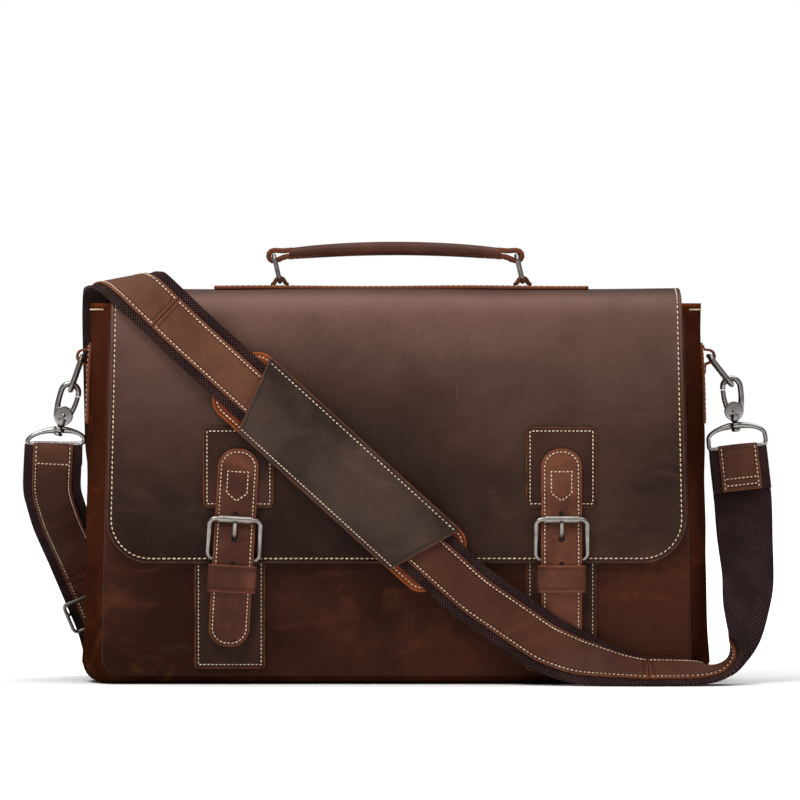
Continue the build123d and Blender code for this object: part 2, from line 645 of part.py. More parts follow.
def make_adjuster():
    """A three-bar slide round the left run: two bars in front of the strap, one behind."""
    route = strap_route()
    high, low = Vector(*route[4][0]), Vector(*route[5][0])
    along = (high - low).normalized()
    across = Vector(*route[5][1])
    across = (across - along * across.dot(along)).normalized()
    plane = Plane(low + along * 16, x_dir=across, z_dir=across.cross(along))
    w, h, b = adjuster_half_width, adjuster_half_height, adjuster_bar
    room = web_thickness / 2 + 0.9
    front = Box(2 * w, b, b)
    solid = Pos(0, h - b / 2, room + b / 2) * front + Pos(0, b / 2 - h, room + b / 2) * front
    solid += Pos(0, 0, -room - b / 2) * Box(2 * w, b, b)
    for sign in (-1, 1):
        post = Box(b, b, 2 * room + 2 * b)
        rail = Box(b, 2 * h, b)
        solid += Pos(sign * (w - b / 2), 0, room + b / 2) * rail
        solid += Pos(sign * (w - b / 2), 0, 0) * post
    return {"strap_adjuster": plane * solid}


def main():
    os.makedirs("parts", exist_ok=True)
    nodes = make_body() | make_flap()
    for side, name in enumerate(("left", "right")):
        nodes |= make_closure(side, name)
        nodes |= make_side(side, name)
    nodes |= make_handle()
    nodes |= make_strap()
    nodes |= make_pad()
    nodes |= make_adjuster()
    for name, solid in nodes.items():
        solid.label = name
        export_step(solid, f"parts/{name}.step")
    for side in (0, 1):
        print("side points", side, [(round(x, 2), round(z, 2)) for x, z in side_points(side)])
    print("flap hinge", round(hinge_y, 2), round(hinge_z, 2))


main()
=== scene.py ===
"""A leather satchel bag: a soft body under a full flap, two buckled closures, a top handle
on wire rings, and a clipped shoulder strap with a pad. Sizes are in millimetres, +Z is up
and -Y is the front. Each sub-assembly is a class that builds its pieces and dresses them."""
import logging
from dataclasses import dataclass, field, replace
from enum import Enum
from typing import Callable, Optional, Sequence

import bpy
import numpy as np
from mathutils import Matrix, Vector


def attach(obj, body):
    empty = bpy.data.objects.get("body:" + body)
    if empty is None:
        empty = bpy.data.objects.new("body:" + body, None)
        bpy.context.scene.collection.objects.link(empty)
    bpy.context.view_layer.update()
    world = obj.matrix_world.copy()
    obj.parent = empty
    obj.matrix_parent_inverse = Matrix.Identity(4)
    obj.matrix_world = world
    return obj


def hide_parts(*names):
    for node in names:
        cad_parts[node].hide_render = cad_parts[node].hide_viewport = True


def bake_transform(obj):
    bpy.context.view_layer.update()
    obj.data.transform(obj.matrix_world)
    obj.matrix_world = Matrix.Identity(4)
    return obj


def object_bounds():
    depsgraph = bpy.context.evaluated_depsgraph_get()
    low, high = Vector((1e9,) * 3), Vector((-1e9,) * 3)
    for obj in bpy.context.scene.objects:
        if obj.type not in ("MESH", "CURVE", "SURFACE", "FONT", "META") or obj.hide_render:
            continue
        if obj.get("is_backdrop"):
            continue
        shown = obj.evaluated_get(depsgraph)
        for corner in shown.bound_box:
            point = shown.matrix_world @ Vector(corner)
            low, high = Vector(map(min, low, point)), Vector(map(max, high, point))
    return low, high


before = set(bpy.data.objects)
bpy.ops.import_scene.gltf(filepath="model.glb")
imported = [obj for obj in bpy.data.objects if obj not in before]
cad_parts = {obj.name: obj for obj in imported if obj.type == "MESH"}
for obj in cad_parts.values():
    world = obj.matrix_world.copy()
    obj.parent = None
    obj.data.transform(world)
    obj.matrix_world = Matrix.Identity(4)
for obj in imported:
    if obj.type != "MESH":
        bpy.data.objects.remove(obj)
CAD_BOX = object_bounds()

Array = np.ndarray
Colour = tuple[float, float, float]
Warp = Callable[[Array, Array], Array]
MM = 0.001
LOG = logging.getLogger("satchel")


class Body(str, Enum):
    """The moving bodies that pieces ride on."""

    BAG = "bag"
    FLAP = "flap"
    PAD = "pad"
    HANDLE = "handle"


class Slot(str, Enum):
    """The finishes that the record names."""

    BODY = "body_leather"
    FLAP = "flap_leather"
    STRAP = "strap_leather"
    PAD = "pad_leather"
    WEBBING = "strap_webbing"
    LINING = "lining_cloth"
    BUCKLE = "buckle_metal"
    RING = "ring_metal"
    HOOK = "hook_metal"


class Side(Enum):
    """The two ends of the bag, as seen from the front."""

    LEFT = 0
    RIGHT = 1

    @property
    def word(self) -> str:
        """The side's name in piece names."""
        return self.name.lower()

    @property
    def sign(self) -> float:
        """-1 on the left, +1 on the right."""
        return 2.0 * self.value - 1.0


# ---------------------------------------------------------------- shapes


@dataclass
class Form:
    """A mesh in the making, with what each vertex knows about its place on the piece.

    Fields: points in mm, quads, flat (across, along) in mm, inset from the nearest cut
    edge in mm, and rim, which is 1 on a cut edge and 0 on a face.
    """

    points: Array
    quads: Array
    flat: Array
    inset: Array
    rim: Array

    @staticmethod
    def joined(forms: Sequence["Form"]) -> "Form":
        """Several forms as one."""
        starts = np.cumsum([0] + [len(form.points) for form in forms[:-1]])
        return Form(
            np.concatenate([form.points for form in forms]),
            np.concatenate([form.quads + start for form, start in zip(forms, starts)]),
            np.concatenate([form.flat for form in forms]),
            np.concatenate([form.inset for form in forms]),
            np.concatenate([form.rim for form in forms]),
        )

    def turned_in(self) -> "Form":
        """The form with its edges turned into a seam: no cut edge shows and none is rubbed."""
        return replace(self, rim=self.rim * 0, inset=self.inset * 0 + 20.0)

    def outward(self) -> "Form":
        """The form with its faces turned outwards, told by the sign of its enclosed volume."""
        a, b, c, d = (self.points[self.quads[:, k]] for k in range(4))
        volume = np.einsum("ij,ij->i", a, np.cross(b, c) + np.cross(c, d)).sum()
        return self if volume > 0 else replace(self, quads=self.quads[:, ::-1])

    def build(self, name: str) -> bpy.types.Object:
        """Makes the Blender object, in metres, at the origin.

        Args:
            name: the piece's name.
        Returns:
            The object, linked to the scene.
        """
        mesh = bpy.data.meshes.new(name)
        count = len(self.quads)
        mesh.vertices.add(len(self.points))
        mesh.vertices.foreach_set("co", (self.points * MM).astype(np.float32).ravel())
        mesh.loops.add(4 * count)
        mesh.loops.foreach_set("vertex_index", self.quads.astype(np.int32).ravel())
        mesh.polygons.add(count)
        mesh.polygons.foreach_set("loop_start", np.arange(0, 4 * count, 4, dtype=np.int32))
        mesh.update(calc_edges=True)
        mesh.polygons.foreach_set("use_smooth", np.ones(count, dtype=bool))
        layer = mesh.uv_layers.new(name="Flat")
        layer.data.foreach_set("uv", (self.flat[self.quads.ravel()] * MM).astype(np.float32).ravel())
        for label, values in (("inset", self.inset), ("rim", self.rim)):
            mesh.attributes.new(label, "FLOAT",
                                "POINT").data.foreach_set("value", values.astype(np.float32))
        mesh.validate()
        mesh.update()
        piece = bpy.data.objects.new(name, mesh)
        bpy.context.scene.collection.objects.link(piece)
        return piece


def unit(vectors: Array) -> Array:
    """Each vector at length one."""
    return vectors / np.maximum(np.linalg.norm(vectors, axis=-1, keepdims=True), 1e-9)


def travelled(points: Array) -> Array:
    """How far along a line each of its points is."""
    return np.concatenate([[0.0], np.cumsum(np.linalg.norm(np.diff(points, axis=0), axis=1))])


def resampled(points: Array, place: Array, at: Array) -> Array:
    """The line's points at other distances along it."""
    return np.stack([np.interp(at, place, column) for column in points.T], axis=1)


def tube_quads(rows: int, ring: int, closed: bool = False) -> Array:
    """Quads of rings of points joined in order; the rings also join end to end if closed."""
    index = np.arange(rows * ring).reshape(rows, ring)
    if closed:
        index = np.concatenate([index, index[:1]])
    low, high = index[:-1], index[1:]
    turn = np.roll(np.arange(ring), -1)
    return np.stack([low, low[:, turn], high[:, turn], high], axis=-1).reshape(-1, 4)


def cap_quads(ring: Array) -> Array:
    """Ladder of quads that closes a ring whose second half mirrors its first."""
    half = len(ring) // 2
    near, far = ring[:half], ring[::-1][:half]
    return np.stack([near[:-1], near[1:], far[1:], far[:-1]], axis=-1)


def soften(values: Array, spread: float, step: float) -> Array:
    """Rows of values averaged with a bell-shaped weight along them, with the ends held."""
    reach = int(max(1, round(3 * spread / step)))
    reach = min(reach, len(values) - 1)
    weight = np.exp(-0.5 * (np.arange(-reach, reach + 1) * step / max(spread, 1e-6)) ** 2)
    head = 2 * values[:1] - values[reach:0:-1]
    tail = 2 * values[-1:] - values[-2:-reach - 2:-1]
    padded = np.concatenate([head, values, tail])
    weight /= weight.sum()
    return np.stack([np.convolve(padded[:, k], weight,
                                 mode="valid") for k in range(values.shape[1])], axis=1)


@dataclass
class Run:
    """A line that a piece follows, with the way across it and the way it faces at each point."""

    centre: Array
    across: Array
    facing: Array
    place: Array

    @staticmethod
    def through(stations: Sequence, across: Sequence, spread: float = 0.0, step: float = 1.0) -> "Run":
        """A run through stations.

        The line is the straight route between the stations, divided evenly and averaged
        with a bell of the given spread. It faces along x across.

        Args:
            stations: points in mm.
            across: one direction for all, or one for each station.
            spread: the bell's spread in mm, 0 for none.
            step: distance between the divided points.
        Returns:
            The run.
        """
        points = np.array(stations, float)
        ways = np.array(across, float)
        if ways.ndim == 1:
            ways = np.repeat(ways[None], len(points), axis=0)
        lengths = travelled(points)
        at = np.linspace(0, lengths[-1], int(max(8, lengths[-1] / step)))
        line = resampled(points, lengths, at)
        width = np.stack([np.interp(at, lengths, ways[:, k]) for k in range(3)], axis=1)
        if spread:
            line = soften(line, spread, at[1] - at[0])
            width = soften(width, 2 * spread, at[1] - at[0])
        return Run.along(line, width)

    @staticmethod
    def along(line: Array, width: Array) -> "Run":
        """A run on a dense line, with the way across squared up to it at each point."""
        forward = unit(np.gradient(line, axis=0))
        width = unit(width - forward * (width * forward).sum(1, keepdims=True))
        place = travelled(line)
        return Run(line, width, unit(np.cross(forward, width)), place)

    @property
    def length(self) -> float:
        """Length along the line."""
        return float(self.place[-1])

    def at(self, s: Array) -> tuple[Array, Array, Array]:
        """Centre, across and facing at distances along the line, in any array shape."""
        look = [np.stack([np.interp(s, self.place, rows[:, k]) for k in range(3)], axis=-1)
                for rows in (self.centre, self.across, self.facing)]
        return look[0], unit(look[1]), unit(look[2])


def no_warp(x: Array, s: Array) -> Array:
    """A flat piece: nothing stands proud of the run."""
    return np.zeros(np.broadcast(x, s).shape)


@dataclass
class Cut:
    """A piece cut from flat stock and laid along a run.

    A point of the piece is the run's centre, plus x across, plus a lift along the facing.
    The width narrows in quarter circles at rounded ends, and the edges are rolled by a
    quarter circle of radius roll.
    """

    run: Run
    half: float | Callable[[Array], Array]
    thick: float
    start: float = 0.0
    end: float = -1.0
    corner: tuple[float, float] = (0.0, 0.0)
    roll: float = -1.0
    lift: float = 0.0
    shear: float = 0.0
    warp: Warp = no_warp

    def __post_init__(self) -> None:
        """Fills in the end of the run and the edge's roll where they aren't given."""
        if self.end < 0:
            self.end = self.run.length
        if self.roll < 0:
            self.roll = 0.3 * self.thick

    def side(self, s: Array) -> Array:
        """Half width at distances along, before the ends are rounded."""
        return self.half(s) if callable(self.half) else np.full(np.shape(s), float(self.half))

    def reach(self, s: Array) -> Array:
        """Half width at distances along, with the ends rounded."""
        width = self.side(s)
        for radius, gone in zip(self.corner, (s - self.start, self.end - s)):
            short = np.clip(radius - gone, 0, radius)
            width = width - (radius - np.sqrt(np.maximum(radius ** 2 - short ** 2, 0)))
        return width

    def locate(self, x: Array, s: Array, lift: Array | float) -> Array:
        """Points on or over the middle of the stock.

        Args:
            x: distances across from the centre line.
            s: distances along.
            lift: distance out from the middle of the stock's thickness.
        Returns:
            Points in mm.
        """
        x, s = np.broadcast_arrays(np.asarray(x, float), np.asarray(s, float))
        slide = s
        if self.shear:
            middle = (self.start + self.end) / 2
            slide = middle + (s - middle) * (1 + self.shear * x / self.side(s))
        centre, across, facing = self.run.at(slide)
        out = np.asarray(lift + self.lift + self.warp(x, s))
        return centre + across * x[..., None] + facing * out[..., None]

    def form(self, columns: int = 12, step: float = 4.0) -> Form:
        """The closed mesh: rings round the stock's section, and a ladder over each end.

        Args:
            columns: cells across the middle of the width.
            step: distance between rings.
        Returns:
            The form.
        """
        roll, top = self.roll, self.thick / 2
        bend = np.linspace(0, np.pi / 2, 4)
        turned = roll * (1 - np.cos(bend))
        arc = 1 - np.cos(np.linspace(0, np.pi / 2, 10))
        marks = [self.start + turned, self.end - turned]
        marks += [self.start + self.corner[0] * arc, self.end - self.corner[1] * arc]
        inner = (self.start + self.corner[0], self.end - self.corner[1])
        marks.append(np.linspace(*inner, max(2, int((inner[1] - inner[0]) / step) + 1)))
        s = np.unique(np.round(np.concatenate(marks), 3))
        steps = np.array([1.0, 1.7, 2.5, 3.3, 5.0, 8.0])
        steps = steps[steps > roll * 1.2]
        insets = np.concatenate([turned, steps])
        width = self.reach(s)
        squeeze = np.minimum(1, 0.92 * width / insets[-1])[:, None]
        edge = width[:, None] - insets[None] * squeeze
        middle = edge[:, -1:] * np.linspace(-1, 1, columns + 1)[None, 1:-1]
        x = np.concatenate([-edge, middle, edge[:, ::-1]], axis=1)
        rise = np.concatenate([top - roll + roll * np.sin(bend), np.full(len(steps), top)])
        rise = np.concatenate([rise, np.full(columns - 1, top), rise[::-1]])
        ends = np.minimum(s - self.start, self.end - s)
        drop = np.clip(roll - ends, 0, roll)
        height = top - roll + np.sqrt(np.maximum(roll ** 2 - drop ** 2, 0))
        lift = rise[None] * (height / top)[:, None]
        along = np.repeat(s[:, None], x.shape[1], axis=1)
        upper, lower = self.locate(x, along, lift), self.locate(x, along, -lift)
        points = np.concatenate([upper, lower[:, ::-1]], axis=1)
        flat = np.stack([x, along], axis=-1)
        flat = np.concatenate([flat, flat[:, ::-1]], axis=1)
        inset = self.from_edge(flat[..., 0], flat[..., 1])
        side_rim = np.concatenate([(bend < 1.2) * 1.0, np.zeros(len(steps))])
        side_rim = np.concatenate([side_rim, np.zeros(columns - 1), side_rim[::-1]])
        rim = np.maximum(np.tile(np.concatenate([side_rim, side_rim[::-1]]), (len(s), 1)),
                         (ends < 0.6 * roll)[:, None] * 1.0)
        rows, ring = points.shape[:2]
        index = np.arange(rows * ring).reshape(rows, ring)
        quads = np.concatenate([tube_quads(rows, ring), cap_quads(index[0]),
                                cap_quads(index[-1])[:, ::-1]])
        return Form(points.reshape(-1, 3), quads, flat.reshape(-1, 2), inset.ravel(),
                    rim.ravel()).outward()

    def from_edge(self, x: Array, s: Array) -> Array:
        """Distance in mm to the nearest cut edge, round the corners too."""
        aside = self.side(s) - np.abs(x)
        ends = (s - self.start, self.end - s)
        gap = np.minimum(aside, np.minimum(*ends))
        for radius, end in zip(self.corner, ends):
            near = (aside < radius) & (end < radius)
            gap = np.where(near, radius - np.hypot(radius - aside, radius - end), gap)
        return np.maximum(gap, 0)

    def border(self, inset: float, open_start: bool = False, open_end: bool = False) -> Array:
        """A line inside the outline, as rows of (x, s), down one side and up the other.

        Args:
            inset: distance from the edge.
            open_start: leave out the line across the start.
            open_end: leave out the line across the end.
        Returns:
            The line's points.
        """
        r0, r1 = (max(radius - inset, 0.01) for radius in self.corner)
        turn = np.linspace(0, np.pi / 2, 12)
        low, high = self.start + inset, self.end - inset
        if open_start:
            low, r0 = self.start + 0.6, 0.01
        if open_end:
            high, r1 = self.end - 0.6, 0.01
        s = np.concatenate([low + r0 * (1 - np.cos(turn)), np.linspace(low + r0, high - r1, 60)[1:-1],
                            high - r1 * (1 - np.cos(turn[::-1]))])
        cut = np.zeros_like(s)
        cut += np.where(s < low + r0, r0 - np.sqrt(np.maximum(r0 ** 2 - (low + r0 - s) ** 2, 0)), 0)
        cut += np.where(s > high - r1, r1 - np.sqrt(np.maximum(r1 ** 2 - (s - high + r1) ** 2, 0)), 0)
        x = self.side(s) - inset - cut
        right, left = np.stack([x, s], axis=1), np.stack([-x, s], axis=1)[::-1]
        if open_start:
            return np.concatenate([right, left]) if not open_end else right
        if open_end:
            return np.concatenate([left, right])
        return np.concatenate([right, left, right[:1]])


@dataclass(frozen=True)
class Thread:
    """Sewing thread: the distance between needle holes, and one stitch's size."""

    pitch: float = 3.6
    share: float = 0.66
    width: float = 0.95
    height: float = 0.55
    slant: float = 0.10

    def sew(self, cut: Cut, line: Array, lift: Optional[float] = None, seed: int = 1) -> Form:
        """Stitches along a line on a piece.

        Each stitch is a low spindle of six-sided rings that dips into its holes at both
        ends: u runs along it, v across it and w out of the leather.

        Args:
            cut: the piece.
            line: rows of (x, s) on it.
            lift: height over the middle of the stock, its face if not given.
            seed: draws the small differences between stitches.
        Returns:
            The stitches as one form.
        """
        lift = cut.thick / 2 if lift is None else lift
        gone = travelled(line)
        count = max(2, int(gone[-1] / self.pitch))
        at = (np.arange(count) + 0.5) * gone[-1] / count
        here = np.stack([np.interp(at, gone, line[:, k]) for k in range(2)], axis=1)
        ahead = np.stack([np.interp(at + 0.4, gone, line[:, k]) for k in range(2)], axis=1)
        behind = np.stack([np.interp(at - 0.4, gone, line[:, k]) for k in range(2)], axis=1)
        base = cut.locate(here[:, 0], here[:, 1], lift)
        out = unit(cut.locate(here[:, 0], here[:, 1], lift + 1) - base)
        forward = unit(cut.locate(ahead[:, 0], ahead[:, 1],
                                  lift) - cut.locate(behind[:, 0], behind[:, 1], lift))
        aside = np.cross(out, forward)
        draw = np.random.default_rng(seed)
        tilt = (self.slant + draw.normal(0, 0.045, count))[:, None]
        forward, aside = forward + aside * tilt, aside - forward * tilt
        span = self.pitch * self.share * (1 + draw.normal(0, 0.05, count))
        u = np.array([-0.5, -0.36, 0.0, 0.36, 0.5])
        fat = np.array([0.45, 0.9, 1.0, 0.9, 0.45])
        w = np.array([-0.35, 0.12, 0.3, 0.12, -0.35]) * self.height
        turn = np.linspace(0, 2 * np.pi, 7)[:-1]
        v = fat[:, None] * np.cos(turn)[None] * self.width / 2
        h = w[:, None] + fat[:, None] * np.sin(turn)[None] * self.height / 2
        body = (forward[:, None, None] * (u[:, None] * np.ones(6))[None, ...,
                                                                   None] * span[:, None, None, None]
                + aside[:, None, None] * v[None, ..., None] + out[:, None, None] * h[None, ..., None])
        points = (base[:, None, None] + body).reshape(-1, 3)
        one = tube_quads(5, 6)
        close = np.array([[0, 1, 2, 5], [2, 3, 4, 5], [24, 29, 26, 25], [26, 29, 28, 27]])
        one = np.concatenate([one, close])
        quads = (one[None] + (np.arange(count) * 30)[:, None, None]).reshape(-1, 4)
        flat = np.repeat(np.stack([here[:, 0], at], axis=1), 30, axis=0)
        zero = np.zeros(len(points))
        return Form(points, quads, flat, zero + 5, zero).outward()


def swept(line: Array, radius: Array | float, ring: int = 12, closed: bool = False,
          squash: float = 1.0, side: Optional[Array] = None) -> Form:
    """Round or flattened bar along a line.

    The section is an ellipse of the given radius, squashed along the second direction. Its
    first direction is carried from the given side, squared up to the line at each point.

    Args:
        line: points in mm.
        radius: one radius, or one for each point.
        ring: points round the section.
        closed: joins the last ring to the first.
        squash: the section's depth as a share of its width.
        side: the way of the section's width.
    Returns:
        The form.
    """
    line = np.asarray(line, float)
    if closed:
        forward = unit(np.roll(line, -1, axis=0) - np.roll(line, 1, axis=0))
    else:
        forward = unit(np.gradient(line, axis=0))
    side = np.array([0.0, 1.0, 0.0]) if side is None else np.asarray(side, float)
    side = unit(side[None] - forward * (forward @ side)[:, None])
    up = np.cross(forward, side)
    radius = np.broadcast_to(np.asarray(radius, float), len(line))
    turn = np.linspace(0, 2 * np.pi, ring + 1)[:-1]
    circle = (side[:, None] * np.cos(turn)[None, :, None] + up[:,
                                                               None] * np.sin(turn)[None, :, None] * squash)
    points = line[:, None] + circle * radius[:, None, None]
    rows = len(line)
    quads = [tube_quads(rows, ring, closed)]
    if not closed:
        index = np.arange(rows * ring).reshape(rows, ring)
        quads += [cap_quads(np.roll(index[0], 0)), cap_quads(index[-1])[:, ::-1]]
    place = travelled(line)
    flat = np.stack([np.tile(turn * radius.mean(), (rows, 1)),
                     np.repeat(place[:, None], ring, axis=1)], axis=-1)
    zero = np.zeros(rows * ring)
    return Form(points.reshape(-1, 3), np.concatenate(quads), flat.reshape(-1, 2), zero + 5,
                zero).outward()


def rounded_loop(width: float, height: float, corner: float, count: int = 96) -> Array:
    """Points round a rounded rectangle about the origin, as (a, b), evenly spaced.

    Args:
        width: full size along a.
        height: full size along b.
        corner: corner radius.
        count: how many points.
    Returns:
        The points, without the first one repeated.
    """
    turn = np.linspace(0, np.pi / 2, 9)
    quarter = np.stack([np.cos(turn), np.sin(turn)], axis=1) * corner
    a, b = width / 2 - corner, height / 2 - corner
    turned = []
    for step, (sa, sb) in enumerate(((a, b), (-a, b), (-a, -b), (a, -b))):
        spin = step * np.pi / 2
        matrix = np.array([[np.cos(spin), np.sin(spin)], [-np.sin(spin), np.cos(spin)]])
        turned.append(quarter @ matrix + (sa, sb))
    loop = np.concatenate(turned + [turned[0][:1]])
    gone = travelled(loop)
    at = np.linspace(0, gone[-1], count + 1)[:-1]
    return resampled(loop, gone, at)


# ---------------------------------------------------------------- finishes


class Graph:
    """Adds shader nodes to one tree and joins them."""

    def __init__(self, tree: bpy.types.NodeTree) -> None:
        """Args: tree: a material's tree or a node group."""
        self.tree = tree

    def node(self, kind: str, feeds: Optional[dict] = None, **settings: object) -> bpy.types.Node:
        """A node with its settings, and its inputs set or joined.

        Args:
            kind: the node's type name, without ShaderNode in front.
            feeds: input name or number to a value or a socket.
            settings: the node's own properties.
        Returns:
            The node.
        """
        made = self.tree.nodes.new("ShaderNode" + kind)
        for label, value in settings.items():
            setattr(made, label, value)
        for label, value in (feeds or {}).items():
            self.join(value, made.inputs[label])
        return made

    def join(self, value: object, socket: bpy.types.NodeSocket) -> None:
        """Joins a socket to an input, or sets the input to a plain value."""
        if isinstance(value, bpy.types.NodeSocket):
            self.tree.links.new(value, socket)
        elif isinstance(value, tuple) and len(value) == 3 and socket.type == "RGBA":
            socket.default_value = (*value, 1.0)
        else:
            socket.default_value = value

    def math(self, operation: str, a: object, b: object = 0.0, c: object = 0.0) -> bpy.types.NodeSocket:
        """The result of one sum on values or sockets."""
        made = self.node("Math", {0: a, 1: b, 2: c}, operation=operation)
        return made.outputs[0]

    def span(self, value: object, low: float, high: float,
             out: tuple[float, float] = (0.0, 1.0)) -> bpy.types.NodeSocket:
        """A value eased from low to high on to the out range."""
        feeds = {"Value": value, "From Min": low, "From Max": high, "To Min": out[0], "To Max": out[1]}
        return self.node("MapRange", feeds, interpolation_type="SMOOTHSTEP").outputs["Result"]

    def mix(self, share: object, a: object, b: object, way: str = "MIX") -> bpy.types.NodeSocket:
        """Two colours mixed by a share."""
        made = self.node("Mix", None, data_type="RGBA", blend_type=way)
        self.join(share, made.inputs[0])
        self.join(a, made.inputs[6])
        self.join(b, made.inputs[7])
        return made.outputs[2]

    def noise(self, place: object, scale: float, detail: float = 3.0, rough: float = 0.55,
              bend: float = 0.0) -> bpy.types.NodeSocket:
        """Cloudy noise from 0 to 1."""
        feeds = {"Vector": place, "Scale": scale, "Detail": detail, "Roughness": rough,
                 "Distortion": bend}
        return self.node("TexNoise", feeds).outputs["Fac"]

    def cells(self, place: object, scale: float,
              feature: str = "DISTANCE_TO_EDGE") -> bpy.types.NodeSocket:
        """Distance in a pattern of cells."""
        return self.node("TexVoronoi", {"Vector": place, "Scale": scale},
                         feature=feature).outputs["Distance"]

    def stretched(self, place: object, scale: Colour,
                  turn: Colour = (0.0, 0.0, 0.0)) -> bpy.types.NodeSocket:
        """Coordinates scaled and turned."""
        return self.node("Mapping", {"Vector": place, "Scale": scale, "Rotation": turn}).outputs["Vector"]


def new_group(name: str, inputs: dict[str, object],
              outputs: dict[str, str]) -> tuple[bpy.types.NodeTree, Graph, dict, bpy.types.Node]:
    """An empty shader node group.

    Args:
        name: the group's name.
        inputs: input name to its first value; a tuple makes a colour, None a vector.
        outputs: output name to its kind, Color or Float.
    Returns:
        The tree, its graph, its inputs by name and its output node.
    """
    tree = bpy.data.node_groups.new(name, "ShaderNodeTree")
    for label, value in inputs.items():
        kind = "Vector" if value is None else "Color" if isinstance(value, tuple) else "Float"
        socket = tree.interface.new_socket(name=label, in_out="INPUT", socket_type="NodeSocket" + kind)
        if value is not None:
            socket.default_value = (*value, 1.0) if isinstance(value, tuple) else value
    for label, kind in outputs.items():
        tree.interface.new_socket(name=label, in_out="OUTPUT", socket_type="NodeSocket" + kind)
    source = tree.nodes.new("NodeGroupInput")
    sink = tree.nodes.new("NodeGroupOutput")
    return tree, Graph(tree), {socket.name: socket for socket in source.outputs if socket.name}, sink


def hide_group() -> bpy.types.NodeTree:
    """Waxed pull-up leather: cloudy colour, pale rubbed patches, painted sheen and rubbing from a point
    attribute, scratches, a fine grain, pale rubbed edges, a raw tan cut edge, and the dint of a seam at an
    inset."""
    start = {"Place": None, "Dark": (0.04, 0.02, 0.015), "Mid": (0.07, 0.03, 0.02),
             "Rubbed": (0.15, 0.06, 0.03),
             "Raw": (0.3, 0.09, 0.03), "Cloud": 11.0, "Wear": 0.5, "Sewn": 2.6}
    tree, g, given, sink = new_group("waxed hide", start,
                                     {"Color": "Color", "Roughness": "Float", "Height": "Float"})
    place = given["Place"]
    rim = g.node("Attribute", None, attribute_name="rim").outputs["Fac"]
    inset = g.node("Attribute", None, attribute_name="inset").outputs["Fac"]
    cloud = g.noise(place, given["Cloud"], 4.0, 0.6, 0.4)
    patch = g.noise(g.stretched(place, (1.0, 1.0, 1.7), (0.3, 0.2, 0.5)), 23.0, 5.0, 0.62, 1.2)
    fine = g.noise(place, 420.0, 4.0, 0.6)
    colour = g.mix(g.span(cloud, 0.34, 0.68), given["Dark"], given["Mid"])
    rubbed = g.math("MULTIPLY", g.span(patch, 0.52, 0.78), given["Wear"])
    colour = g.mix(rubbed, colour, given["Rubbed"])
    # Painted sheen and rubbing: a point attribute, broken up by the cloud, mixes the colour towards the
    # pale rubbed colour; on the flap it stands for the top light.
    rub = g.node("Attribute", None, attribute_name="rub").outputs["Fac"]
    colour = g.mix(g.math("MULTIPLY", rub, g.span(cloud, 0.2, 0.7, (0.45, 0.95))), colour,
                   given["Rubbed"])
    long = g.stretched(place, (900.0, 900.0, 34.0), (0.0, 0.5, 0.35))
    scratch = g.span(g.noise(long, 1.0, 2.0, 0.5), 0.70, 0.78)
    where = g.span(g.noise(place, 17.0, 2.0), 0.5, 0.65)
    scratch = g.math("MULTIPLY", scratch, where)
    colour = g.mix(g.math("MULTIPLY", scratch, 0.35), colour, given["Rubbed"])
    colour = g.mix(g.span(fine, 0.3, 0.75, (0.0, 0.13)), colour, given["Dark"], "MULTIPLY")
    ragged = g.math("ADD", inset, g.span(g.noise(place, 160.0, 2.0), 0.2, 0.8, (-0.5, 0.5)))
    near = g.math("MULTIPLY", g.span(ragged, 1.0, 0.1), 0.38)
    colour = g.mix(near, colour, given["Rubbed"])
    seam = g.span(g.math("ABSOLUTE", g.math("SUBTRACT", inset, given["Sewn"])), 1.1, 0.2)
    colour = g.mix(g.math("MULTIPLY", seam, 0.45), colour,
                   g.mix(1.0, given["Dark"], (0.5, 0.45, 0.45), "MULTIPLY"))
    raw = g.mix(g.span(g.noise(place, 130.0, 3.0), 0.35, 0.7), given["Raw"], given["Mid"])
    colour = g.mix(g.math("MULTIPLY", rim, 0.85), colour, raw)
    g.join(colour, sink.inputs["Color"])
    rough = g.math("ADD", g.span(patch, 0.3, 0.75, (0.40, 0.55)), g.math("MULTIPLY", fine, 0.12))
    g.join(g.math("ADD", rough, g.math("MULTIPLY", rim, 0.2)), sink.inputs["Roughness"])
    pebble = g.span(g.cells(place, 900.0), 0.0, 0.25)
    height = g.math("ADD", g.math("MULTIPLY", pebble, 0.10), g.math("MULTIPLY", fine, 0.08))
    height = g.math("ADD", height, g.math("MULTIPLY", g.noise(place, 60.0, 3.0), 0.5))
    height = g.math("SUBTRACT", height, g.math("MULTIPLY", scratch, 0.25))
    height = g.math("SUBTRACT", height, g.math("MULTIPLY", seam, 0.9))
    g.join(height, sink.inputs["Height"])
    return tree


